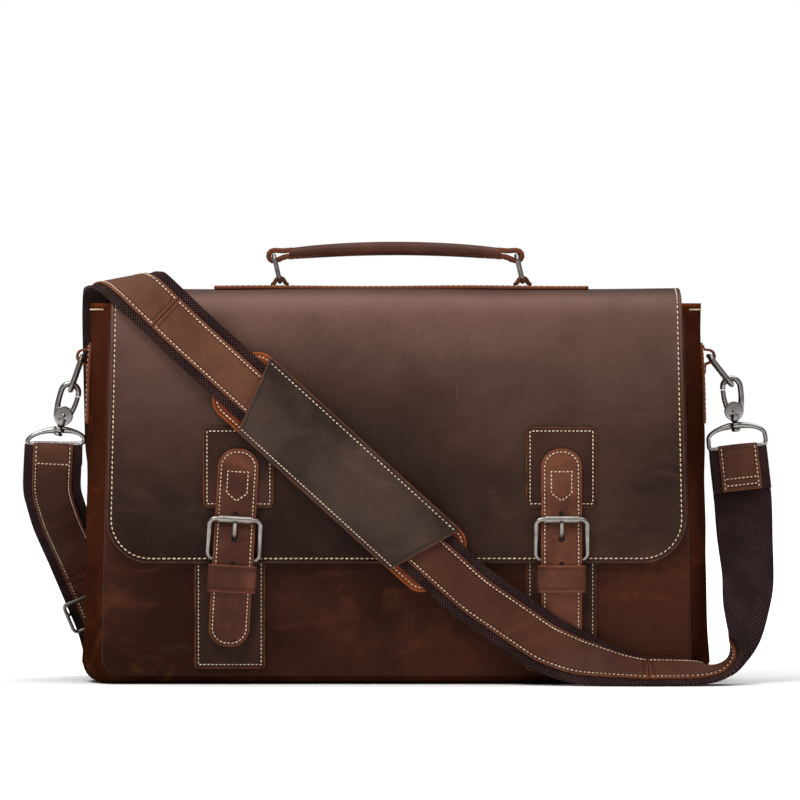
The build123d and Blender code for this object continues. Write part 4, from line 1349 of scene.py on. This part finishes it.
@dataclass
class Handle:
    """The arched handle and the loops that hold its rings."""

    left_x: float = -79.9
    right_x: float = 79.1
    bar_z: float = 278.86
    rise: float = 4.5
    half: float = 10.0
    ride: Ride = Ride(Body.HANDLE)

    def arch(self, x: Array, lift: float) -> Array:
        """Points of the arch: a shallow parabola between the rings' top bars."""
        share = (x - self.left_x) / (self.right_x - self.left_x)
        return np.stack([x, np.zeros_like(x),
                         self.bar_z + lift + self.rise * 4 * share * (1 - share)], axis=1)

    def strap(self) -> Cut:
        """The lower leather, turned up round both rings and back on itself."""
        turn = np.linspace(-0.5 * np.pi, -1.5 * np.pi, 9)
        radius = 3.7
        left = np.stack([self.left_x + radius * np.cos(turn[::-1]), 0 * turn,
                         self.bar_z + radius * np.sin(turn[::-1])], axis=1)
        right = left[::-1] * (-1, 1, 1) + (self.left_x + self.right_x, 0, 0)
        middle = self.arch(np.linspace(self.left_x + 7, self.right_x - 7, 60), -1.3)
        top_left = self.arch(np.array([self.left_x + 13.0, self.left_x + 6.0]), 2.6)
        top_right = self.arch(np.array([self.right_x - 6.0, self.right_x - 13.0]), 2.6)
        line = np.concatenate([top_left, left, middle, right, top_right])
        run = Run.through(line, (0, -1, 0), spread=1.0)
        return Cut(run, self.half, 3.4, corner=(3, 3), roll=1.3)

    def grip(self) -> Form:
        """The padded grip round the strap: a sweep of a rounded section, a little thinner
        at both ends."""
        x = np.linspace(-69.8, 69.0, 100)
        share = (x - x[0]) / (x[-1] - x[0])
        full = np.maximum(np.maximum(np.sin(np.pi * share), 0) ** 0.07, 0.86)
        line = self.arch(x, 0.1)
        turn = np.linspace(0, 2 * np.pi, 29)[:-1]
        wide = (self.half + 0.7) * np.sign(np.cos(turn)) * np.abs(np.cos(turn)) ** 0.55
        tall = np.where(np.sin(turn) > 0, 4.7, 4.3) * np.sign(np.sin(turn)) * np.abs(np.sin(turn)) ** 0.8
        points = line[:, None] + np.stack([0 * wide[None] * full[:, None],
                                           wide[None] * (0.9 + 0.1 * full[:, None]),
                                           tall[None] * full[:, None]], axis=-1)
        rows, ring = points.shape[:2]
        index = np.arange(rows * ring).reshape(rows, ring)
        quads = np.concatenate([tube_quads(rows, ring), cap_quads(index[0]),
                                cap_quads(index[-1])[:, ::-1]])
        flat = np.stack([np.tile(wide, (rows, 1)), np.repeat(x[:, None], ring, axis=1)],
                        axis=-1).reshape(-1, 2)
        zero = np.zeros(rows * ring)
        return Form(points.reshape(-1, 3), quads, flat, zero + 6, zero).outward()

    def loop(self, x: float) -> Cut:
        """A leather loop over a ring's lower bar: flat, up over the bar, and flat again."""
        turn = np.linspace(np.pi, 0, 11)
        line = [(x - 5.6, 0, 259.6), (x - 4.3, 0, 260.4)]
        line += [(x + 3.1 * np.cos(a), 0, 261.6 + 3.0 * np.sin(a)) for a in turn]
        line += [(x + 4.3, 0, 260.4), (x + 5.6, 0, 259.6)]
        return Cut(Run.through(line, DEEP, spread=0.8, step=0.6), 8.5, 2.7, corner=(1, 1))

    def build(self) -> None:
        """Makes the handle's pieces."""
        strap = self.strap()
        dress(strap.form(10, 2), "handle_strap_leather", Look.HANDLE, Slot.STRAP, self.ride,
              ["handle_strap"])
        grip = dress(self.grip(), "handle_grip_leather", Look.HANDLE, Slot.STRAP, self.ride,
                     ["handle_grip"])
        for side, x in zip(Side, (-76.0, 83.0)):
            piece = self.loop(x).form(8, 1.0)
            dress(piece, f"{side.word}_handle_loop_leather", Look.PATCH, Slot.FLAP, Ride(Body.FLAP),
                  [f"{side.word}_handle_loop"])
        seam = []
        low = strap.run.length / 2
        for x in (-7.6, 7.6):
            line = np.array([[x, low - 78.0], [x, low + 78.0]])
            seam.append(Thread(pitch=3.4).sew(strap, line, seed=11))
        dress(Form.joined(seam), "handle_thread", Look.THREAD, Slot.STRAP, self.ride)


@dataclass
class SideTab:
    """The leather tab on one side that holds the clip's ring."""

    side: Side
    pivot_x: float = 205.32
    pivot_z: float = 213.0
    half: float = 12.5

    def tab(self) -> Cut:
        """The flat tab, sewn to the gusset."""
        line = [(201.9, 0, 169.0), (201.2, 0, 200.0), (199.6, 0, 222.0)]
        return Cut(Run.through(np.array(line) * (self.side.sign, 1, 1), (0, -self.side.sign, 0),
                               spread=6.0), self.half, 2.2, corner=(4, 4))

    def loop(self) -> Cut:
        """The band that holds the ring's bar to the tab."""
        turn = np.linspace(-0.5 * np.pi, 0.5 * np.pi, 13)
        line = [(202.2, 0, 201.5), (202.4, 0, 207.8)]
        line += [(self.pivot_x + 3.5 * np.cos(a), 0, self.pivot_z + 4.2 * np.sin(a)) for a in turn]
        line += [(201.6, 0, 217.4), (201.0, 0, 220.5)]
        points = np.array(line) * (self.side.sign, 1, 1)
        return Cut(Run.through(points, (0, -self.side.sign, 0), spread=0.8, step=0.6), 9.0, 1.6,
                   corner=(2, 2))

    def build(self) -> None:
        """Makes the tab, its loop and its stitches."""
        word, ride = self.side.word, Ride(Body.BAG)
        tab, loop = self.tab(), self.loop()
        piece = Form.joined([tab.form(8, 3), loop.form(6, 1.0)])
        dress(piece, f"{word}_side_tab_leather", Look.CLOSURE, Slot.BODY, ride, [f"{word}_side_tab"])
        dress(Thread(pitch=3.2).sew(tab, tab.border(2.4)), f"{word}_side_tab_thread", Look.THREAD,
              Slot.BODY, ride)


@dataclass
class Clip:
    """One swivel clip: hook, gate and the bail that the strap is sewn round."""

    side: Side
    eye: float = 5.8
    eye_rise: float = 15.9
    hub_z: float = -9.5
    half_width: float = 18.8
    level_drift: float = 2.9
    leans: tuple[float, float] = (16.0, 6.0)
    pins: tuple[tuple[float, float], tuple[float, float]] = ((217.97, 174.07), (221.61, 177.13))
    depths: tuple[float, float] = (9.2, 14.3)

    def placed(self, x: Array, y: Array, z: Array) -> Array:
        """Points about the gate pin, gate towards the bag, turned to hang as the clip does."""
        number = self.side.value
        lean = -np.radians(self.leans[number])
        pin = self.pins[number]
        x, y, z = np.broadcast_arrays(*(np.asarray(value, float) for value in (x, y, z)))
        return np.stack([self.side.sign * (pin[0] + x * np.cos(lean) + z * np.sin(lean)), y,
                         pin[1] - x * np.sin(lean) + z * np.cos(lean)], axis=-1)

    def bar(self, route: Sequence[tuple[float, float]], radius: Array | float,
            spread: float = 1.2) -> Form:
        """A wire bent along points of the clip's plane."""
        points = np.array([(x, 0.0, z) for x, z in route])
        line = Run.through(points, DEEP, spread=spread, step=0.5).centre
        if not np.isscalar(radius):
            radius = np.interp(np.linspace(0, 1, len(line)), np.linspace(0, 1, len(radius)), radius)
        return swept(self.placed(line[:, 0], line[:, 1], line[:, 2]), radius, 14)

    def turned(self, marks: Sequence[tuple[float, float]], along_depth: bool) -> Form:
        """A turned part: (place, radius) marks along the pin, or along the swivel's post."""
        at, radius = (np.array(values, float) for values in zip(*marks))
        line = self.placed(0.0, at, 0.0) if along_depth else self.placed(0.0, 0.0, at)
        return swept(line, radius, 28, side=np.array([1.0, 0.0, 0.0]))

    def shoulder(self, sign: int) -> Form:
        """Half of the bail, from its hub to the middle of the strap bar.

        The left strap end hangs level, so its bail is bent level under the leaning hub.
        """
        deep = self.depths[self.side.value]
        route = [(0.0, 0.0), (4.0, -0.1), (9.0, -0.9), (13.5, -2.3), (16.9, -4.2), (18.6, -6.4),
                 (self.half_width, 1.1 - deep), (17.3, -deep), (8.0, -deep), (0.0, -deep)]
        points = np.array([(x * sign, 0.0, z) for x, z in route])
        line = Run.through(points, DEEP, spread=0.9, step=0.5).centre
        radius = np.interp(np.linspace(0, 1, len(line)), np.linspace(0, 1, 10),
                           [2.2, 2.2, 1.7] + [1.45] * 7)
        if self.side is Side.RIGHT:
            return swept(self.placed(line[:, 0], 0.0, line[:, 2] + self.hub_z), radius, 14)
        drift = np.clip(-line[:, 2:] / deep, 0, 1) * (self.level_drift, 0, 0)
        return swept(self.placed(0.0, 0.0, self.hub_z) + line - drift, radius, 14)

    def build(self) -> None:
        """Makes the clip's pieces."""
        word = self.side.word
        bend = np.linspace(0, np.pi, 15)
        eye = [(self.eye * np.cos(a), self.eye_rise + self.eye * np.sin(a)) for a in bend]
        arm = self.bar([(4.4, 0.0), (5.1, 3.5), (5.7, 8.0), (5.8, 12.0), *eye, (-5.8, 14.9)],
                       [2.0] * 3 + [1.9] * 8 + [1.9, 1.8])
        disc = self.turned([(-2.36, 0.1), (-2.34, 5.0), (-2.3, 5.9), (-2.1, 6.3), (-1.8, 6.4), (1.8, 6.4),
                            (2.1, 6.3), (2.3, 5.9), (2.34, 5.0), (2.36, 0.1)], True)
        neck = self.turned([(-2.0, 3.6), (-5.5, 3.4), (-6.5, 2.6), (-7.2, 1.7), (-11.4, 1.7),
                            (-11.6, 2.9), (-13.0, 3.0),
                            (-13.6, 2.2), (-13.7, 0.1)], False)
        rivet = self.turned([(-3.0, 0.1), (-2.9, 0.8), (-2.6, 1.3), (-2.2, 1.5), (2.3, 1.5),
                             (2.5, 0.1)], True)
        body = Form.joined([arm, disc, neck, rivet])
        dress(body, f"{word}_hook_casting", Look.HOOK, Slot.HOOK, Ride(f"{word}_hook"),
              [f"{word}_hook_body", f"{word}_gate_pin"])
        gate = self.bar([(-3.9, 1.0), (-5.0, 5.0), (-5.7, 9.5), (-5.8, 14.5)], [1.7, 1.7, 1.65, 1.6])
        dress(gate, f"{word}_gate_casting", Look.HOOK, Slot.HOOK, Ride(f"{word}_gate"),
              [f"{word}_hook_gate"])
        sides = [self.shoulder(sign) for sign in (1, -1)]
        hub = self.turned([(-7.9, 2.2), (-8.0, 3.6), (-8.4, 4.0), (-10.6, 4.0), (-11.0, 3.5),
                           (-11.1, 2.2)], False)
        dress(Form.joined([*sides, hub]), f"{word}_bail_wire", Look.HOOK, Slot.HOOK, Ride(Body.BAG),
              [f"{word}_hook_bail"])


# ---------------------------------------------------------------- shoulder strap

SLOPE = np.array([0.739095, 0.0, -0.673601])
UPHILL = (0.673601, 0.0, 0.739095)
DIAGONAL_TOP = np.array([-152.0, 0.0, 243.1])
PAD_RUN = 155.54


@dataclass
class ShoulderStrap:
    """Webbing with a sewn leather overlay, from clip to clip, in two ribbons that meet under the pad."""

    half: float = 19.0
    web_thick: float = 1.8
    leather_half: float = 13.0
    leather_thick: float = 1.5
    upper_ride: Ride = Ride(Body.FLAP, Body.BAG, (0, -95.4, 71.6), (0, -80.0, 60.0))
    lower_ride: Ride = Ride(Body.FLAP, Body.BAG, (60.3, 0, 45.2), (209.0, 0, 156.8))

    def upper(self) -> Run:
        """Left clip, down behind the bag, up the back, over the crest, and down to the pad."""
        mid = DIAGONAL_TOP + SLOPE * (PAD_RUN + 8) + (0, -72.0, 0)
        low = DIAGONAL_TOP + SLOPE * 22 + (0, -71.3, 0)
        stations = [
            ((-224.6, 3.4, 142.0), (1, 0, -0.03)), ((-224.3, 3.6, 153.5), (1, 0, -0.03)),
            ((-224.2, 0.0, 159.6), (1, 0, -0.03)), ((-224.3, -3.6, 153.5), (1, 0, -0.03)),
            ((-225.0, -2.2, 141.0), (1, 0, -0.03)),
            ((-226.0, 11, 124.4), (0.98, 0.1, -0.1)), ((-220.5, 37, 104), (0.95, 0.28, 0.05)),
            ((-210, 75.6, 78), (0.96, 0.12, 0.25)), ((-192, 95.6, 34), (0.96, 0.12, 0.25)),
            ((-187, 98.6, 14), (1, 0.05, 0)), ((-181, 88.6, 3.2),
                                               (1, 0, 0)), ((-177, 74.6, 2.9), (1, 0, 0)),
            ((-174, 64.6, 14), (1, 0, 0)), ((-172, 61.6, 40), (1, 0, 0)), ((-174, 61.0, 100), (1, 0, 0)),
            ((-186, 61.2, 149.8), (1, 0, 0)), ((-188, 61.8, 239.8), (1, 0, 0.05)),
            ((-187.5, 62.5, 255.5), (0.99, 0, 0.08)), ((-187, 47.5, 260.0), (0.98, 0, 0.12)),
            ((-185, 26.5, 261.8), (0.98, 0.08, 0.14)), ((-181, -5, 262.8), (0.96, 0.1, 0.19)),
            ((-175, -43, 262.3), (0.93, 0.15, 0.29)), ((-165, -66.5, 256.4), (0.76, 0.1, 0.62)),
            ((-151.5, -67.0, 243.4), UPHILL), (tuple(low), UPHILL), (tuple(mid), UPHILL),
        ]
        return Run.through([p for p, _ in stations], [w for _, w in stations], spread=6.0)

    def lower(self) -> Run:
        """From under the pad down to the floor, along it, and up to the right clip."""
        top = DIAGONAL_TOP + SLOPE * (PAD_RUN - 8) + (0, -72.0, 0)
        lying = (0, 0.9, 0.43)
        stations = [
            (tuple(top), UPHILL), ((50, -72, 59), UPHILL), ((72, -72.8, 44), (0.62, 0, 0.78)),
            ((97, -74.5, 26.5), (0.5, 0.15, 0.85)), ((118, -77, 18), (0.3, 0.45, 0.84)),
            ((141, -80, 12.8), (0.15, 0.82, 0.55)), ((159, -81, 10.0), lying), ((190, -79, 9.8), lying),
            ((206, -72, 10.2), (-0.25, 0.9, 0.3)), ((218, -60, 16), (0.1, 0.9, -0.35)),
            ((225, -46, 37), (0.7, 0.65, -0.35)), ((229.5, -28, 66), (0.9, 0.4, -0.2)),
            ((228, -12, 95), (0.97, 0.2, -0.1)), ((227.4, -1, 119.6), (1, 0, 0)),
            ((225.2, 3.4, 140.0), (0.9945, 0, 0.1045)), ((224.2, 3.7, 151.5), (0.9945, 0, 0.1045)),
            ((223.6, 0, 157.2), (0.9945, 0, 0.1045)), ((224.2, -3.7, 151.5), (0.9945, 0, 0.1045)),
            ((226.2, -4.0, 134.0), (0.9945, 0, 0.1045)), ((227.2, -4.2, 125.0), (0.9945, 0, 0.1045)),
        ]
        return Run.through([p for p, _ in stations], [w for _, w in stations], spread=5.0)

    def ribbon(self, run: Run, word: str, ride: Ride, splices: Sequence[float], nodes: Sequence[str],
               bare: tuple[float, float] = (0, 0), rows: Sequence[float] = ()) -> None:
        """Webbing, overlay and stitches along one run.

        Args:
            run: the line.
            word: the ribbon's name.
            ride: how it moves.
            splices: distances along at which one length of overlay ends and the next starts.
            nodes: the CAD nodes that the webbing stands for.
            bare: a stretch with no overlay, from and to.
            rows: distances along at which a seam crosses the overlay.
        """
        web = Cut(run, self.half, self.web_thick, lift=-0.75, roll=0.8,
                  warp=lambda x, s: 0.12 * np.sin(s / 7.0) * (x / 19) ** 2)
        piece = dress(web.form(12, 2.0), f"{word}_webbing", Look.WEBBING, Slot.WEBBING, ride, nodes)
        marks = [0.0, *splices, run.length]
        leather, seams = [], []
        for number, (low, high) in enumerate(zip(marks, marks[1:])):
            if low < bare[1] and high > bare[0]:
                continue
            part = Cut(run, self.leather_half, self.leather_thick, start=low + 0.3, end=high - 0.3,
                       lift=0.85,
                       warp=lambda x, s: 0.3 * (1 - (x / 13.0) ** 2))
            leather.append(part.form(8, 2.0))
            for x in (-11.0, 11.0):
                line = np.array([[x, part.start + 1.0], [x, part.end - 1.0]])
                seams.append(Thread(pitch=2.6, width=0.75).sew(part, line, seed=20 + number))
            for row in rows:
                if part.start < row < part.end:
                    line = np.array([[-10.5, row], [10.5, row]])
                    seams.append(Thread(pitch=2.6, width=0.75).sew(part, line, seed=40))
        overlay = dress(Form.joined(leather), f"{word}_overlay", Look.STRAP, Slot.STRAP, ride)
        # The overlay is painted paler towards the top: a share that grows from 0 at 110 mm high to 0.5 at
        # 220 mm.
        paint(overlay, "rub", lambda place: 0.5 * np.clip((place[:, 2] - 110.0) / 110.0, 0, 1))
        thread = dress(Form.joined(seams), f"{word}_strap_thread", Look.THREAD, Slot.STRAP, ride)

    def build(self) -> None:
        """Makes both ribbons."""
        upper, lower = self.upper(), self.lower()
        by_x = upper.place[(upper.centre[:, 1] < -60) & (upper.centre[:, 0] > -150.0)][0]
        by_z = upper.place[(upper.centre[:, 1] > 60) & (upper.centre[:, 2] < 69.0)][0]
        self.ribbon(upper, "upper", self.upper_ride, [by_z, by_x], [
            f"shoulder_strap_{part}" for part in ("left", "back", "turn", "crown",
                                                  "front")], rows=[12.5, 28.0])
        end = lower.length
        by_floor = lower.place[lower.centre[:, 0] > 163.0][0]
        self.ribbon(lower, "lower", self.lower_ride, [by_floor, end - 30.0], [
            f"shoulder_strap_{part}" for part in ("foot", "floor", "right")], rows=[end - 4.0, end - 8.5])


@dataclass
class ShoulderPad:
    """The pad: a tan base under the strap and a dark cover over it."""

    half: float = 25.25
    length: float = 192.0
    ride: Ride = Ride(Body.PAD)

    def run(self, depth: float) -> Run:
        """The straight line of the pad at a depth, centred on the pad."""
        centre = DIAGONAL_TOP + SLOPE * PAD_RUN + (0, depth, 0)
        return Run.through([centre - SLOPE * self.length / 2, centre + SLOPE * self.length / 2], UPHILL)

    def build(self) -> None:
        """Makes base, cover and stitches."""
        base = Cut(self.run(-68.7), self.half, 3.0, corner=(13, 13), roll=1.2,
                   warp=lambda x, s: 0.5 * np.sin(s / 40.0) * (x / 25.0) ** 2)
        middle = self.length / 2
        cover = Cut(self.run(-71.2), self.half + 0.1, 2.2, start=middle - 75, end=middle + 75,
                    shear=0.113,
                    warp=lambda x, s: 4.3 * (1 - np.clip(np.abs(x) / 24.8, 0, 1) ** 3.2)
                    + 0.35 * np.sin(s / 19.0) * (1 - (x / 25.0) ** 2))
        bottom = dress(base.form(16, 3), "pad_base_leather", Look.TAN, Slot.PAD, self.ride, ["pad_base"])
        top = dress(cover.form(26, 2.5), "pad_cover_leather", Look.COVER, Slot.PAD, self.ride,
                    ["pad_cover"])
        seams = [Thread(pitch=2.7, width=0.75).sew(base, base.border(3.0))]
        for x in (-22.4, 22.4):
            line = np.array([[x, middle - 73.5], [x, middle + 73.5]])
            seams.append(Thread(pitch=2.7, width=0.75).sew(cover, line, seed=31))
        dress(Form.joined(seams), "pad_thread", Look.THREAD, Slot.PAD, self.ride)


# ---------------------------------------------------------------- metal and studio


class Hardware:
    """The metal and board that keep their CAD shape, and the strap's wire slide."""

    finishes: dict[Look, list[str]] = {
        Look.BUCKLE: ["snap_stud", "snap_socket", "buckle_frame", "buckle_roller"],
        Look.RING: ["handle_ring", "side_ring"],
    }

    def build(self) -> None:
        """Gives each kept node its material and makes the slide."""
        for look, nodes in self.finishes.items():
            for side in Side:
                for node in nodes:
                    self.finish(f"{side.word}_{node}", look)
        self.adjuster()
        self.finish("base_stiffener", Look.LINING)

    @staticmethod
    def adjuster() -> None:
        """The three-bar slide, bent from wire: a loop in front of the strap and a bar behind it."""
        low, high = np.array([-192.0, 95.6, 34.0]), np.array([-210.0, 75.6, 78.0])
        along = unit(high - low)
        across = np.array([0.96, 0.12, 0.25])
        across = unit(across - along * (across @ along))
        out = np.cross(across, along)
        half, tall, off, wire_radius = 21.2, 21.4, 3.8, 1.35
        axes, centre = np.stack([across, along, out]), low + along * 16
        loop = rounded_loop(2 * half, tall, 3.0, 90)
        front = np.concatenate([loop, np.full((len(loop), 1), off)], axis=1) @ axes + centre
        bends = np.array([(-half, 0, off), (-half, 0, -off), (half, 0, -off), (half, 0, off)])
        back = Run.through(bends, (0, 1, 0), spread=1.0, step=0.6).centre @ axes + centre
        wire = Form.joined([swept(front, wire_radius, 12, closed=True), swept(back, wire_radius, 12)])
        dress(wire, "strap_slide_wire", Look.RING, Slot.RING, Ride("adjuster"), ["strap_adjuster"])

    @staticmethod
    def finish(node: str, look: Look) -> None:
        """Puts a material on a CAD node."""
        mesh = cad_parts[node].data
        mesh.materials.clear()
        mesh.materials.append(look.material)
        LOG.info("%s: kept, %s", node, look.name)


@dataclass
class Studio:
    """Pale floor, soft lights and the camera."""

    aim: tuple[float, float, float] = (0.0023, -0.058, 0.1850)
    distance: float = 7.0
    swing: float = -0.4
    eye_z: float = 0.257
    field: float = 0.520
    room: float = 0.28

    def floor(self) -> None:
        """A flat pale floor with a very faint cloudiness."""
        points = np.array([(-6000, -6000, 0), (6000, -6000, 0), (6000, 6000, 0), (-6000, 6000, 0)], float)
        form = Form(points, np.array([[0, 1, 2, 3]]), points[:, :2], np.zeros(4), np.zeros(4))
        floor = form.build("studio_floor")
        material = bpy.data.materials.new("pale floor")
        material.use_nodes = True
        g = Graph(material.node_tree)
        shader = material.node_tree.nodes["Principled BSDF"]
        place = g.node("TexCoord").outputs["Object"]
        cloud = g.noise(place, 3.0)
        away = g.node("VectorMath", {0: place}, operation="LENGTH").outputs["Value"]
        g.join(g.span(away, 0.38, 1.1), shader.inputs["Emission Strength"])
        shader.inputs["Emission Color"].default_value = (1.0, 1.0, 1.0, 1.0)
        g.join(g.mix(cloud, (0.92, 0.92, 0.92), (0.95, 0.95, 0.95)), shader.inputs["Base Color"])
        shader.inputs["Roughness"].default_value = 0.9
        shader.inputs["Specular IOR Level"].default_value = 0.1
        floor.data.materials.append(material)
        floor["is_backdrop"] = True

    def light(self, name: str, place: tuple[float, float, float], size: tuple[float, float],
              power: float) -> None:
        """A soft rectangular lamp aimed at the bag."""
        lamp = bpy.data.lights.new(name, "AREA")
        lamp.shape, lamp.size, lamp.size_y, lamp.energy = "RECTANGLE", *size, power
        piece = bpy.data.objects.new(name, lamp)
        bpy.context.scene.collection.objects.link(piece)
        piece.location = place
        away = np.array(place) - np.array((0.0, 0.0, 0.13))
        piece.rotation_euler = bpy_direction(away)

    def build(self) -> None:
        """Makes the floor, lights, backdrop light and camera."""
        self.floor()
        self.light("key_lamp", (-0.8, -1.5, 2.0), (1.2, 0.8), 33.0)
        self.light("fill_lamp", (1.6, -1.6, 1.0), (1.2, 1.2), 2.0)
        self.light("top_lamp", (0.0, 0.1, 2.6), (3.2, 2.6), 74.0)
        world = bpy.data.worlds.new("studio")
        world.use_nodes = True
        g = Graph(world.node_tree)
        seen = g.node("LightPath").outputs["Is Camera Ray"]
        sky = world.node_tree.nodes["Background"]
        sky.inputs["Color"].default_value = (1.0, 1.0, 1.0, 1.0)
        g.join(g.span(seen, 0.0, 1.0, (self.room, 1.0)), sky.inputs["Strength"])
        scene = bpy.context.scene
        scene.world = world
        scene.view_settings.view_transform = "Standard"
        lens = bpy.data.cameras.new("camera")
        lens.sensor_width = 36.0
        lens.lens = 36.0 * self.distance / self.field
        camera = bpy.data.objects.new("camera", lens)
        scene.collection.objects.link(camera)
        turn = np.radians(self.swing)
        rise = self.eye_z - self.aim[2]
        flat = np.sqrt(self.distance ** 2 - rise ** 2)
        place = np.array(self.aim) + (flat * np.sin(turn), -flat * np.cos(turn), rise)
        camera.location = place
        camera.rotation_euler = bpy_direction(place - np.array(self.aim))
        scene.camera = camera


def bpy_direction(away: Array) -> tuple[float, float, float]:
    """Turn that points an object's -Z against the given way, with +Y up."""
    from mathutils import Vector
    return Vector([float(value) for value in away]).to_track_quat("Z", "Y").to_euler()


def main() -> None:
    """Builds the bag in order and reports each piece."""
    logging.basicConfig(level=logging.INFO, format="%(message)s")
    sections = [BagBody(), Flap(), *(Closure(side) for side in Side), Handle(),
                *(SideTab(side) for side in Side),
                *(Clip(side) for side in Side),
                ShoulderStrap(), ShoulderPad(), Hardware(), Studio()]
    for section in sections:
        section.build()
        LOG.info("built %s", type(section).__name__)
    boxes = [[list(map(float, corner)) for corner in box] for box in (CAD_BOX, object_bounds())]


if __name__ == "__main__":
    main()
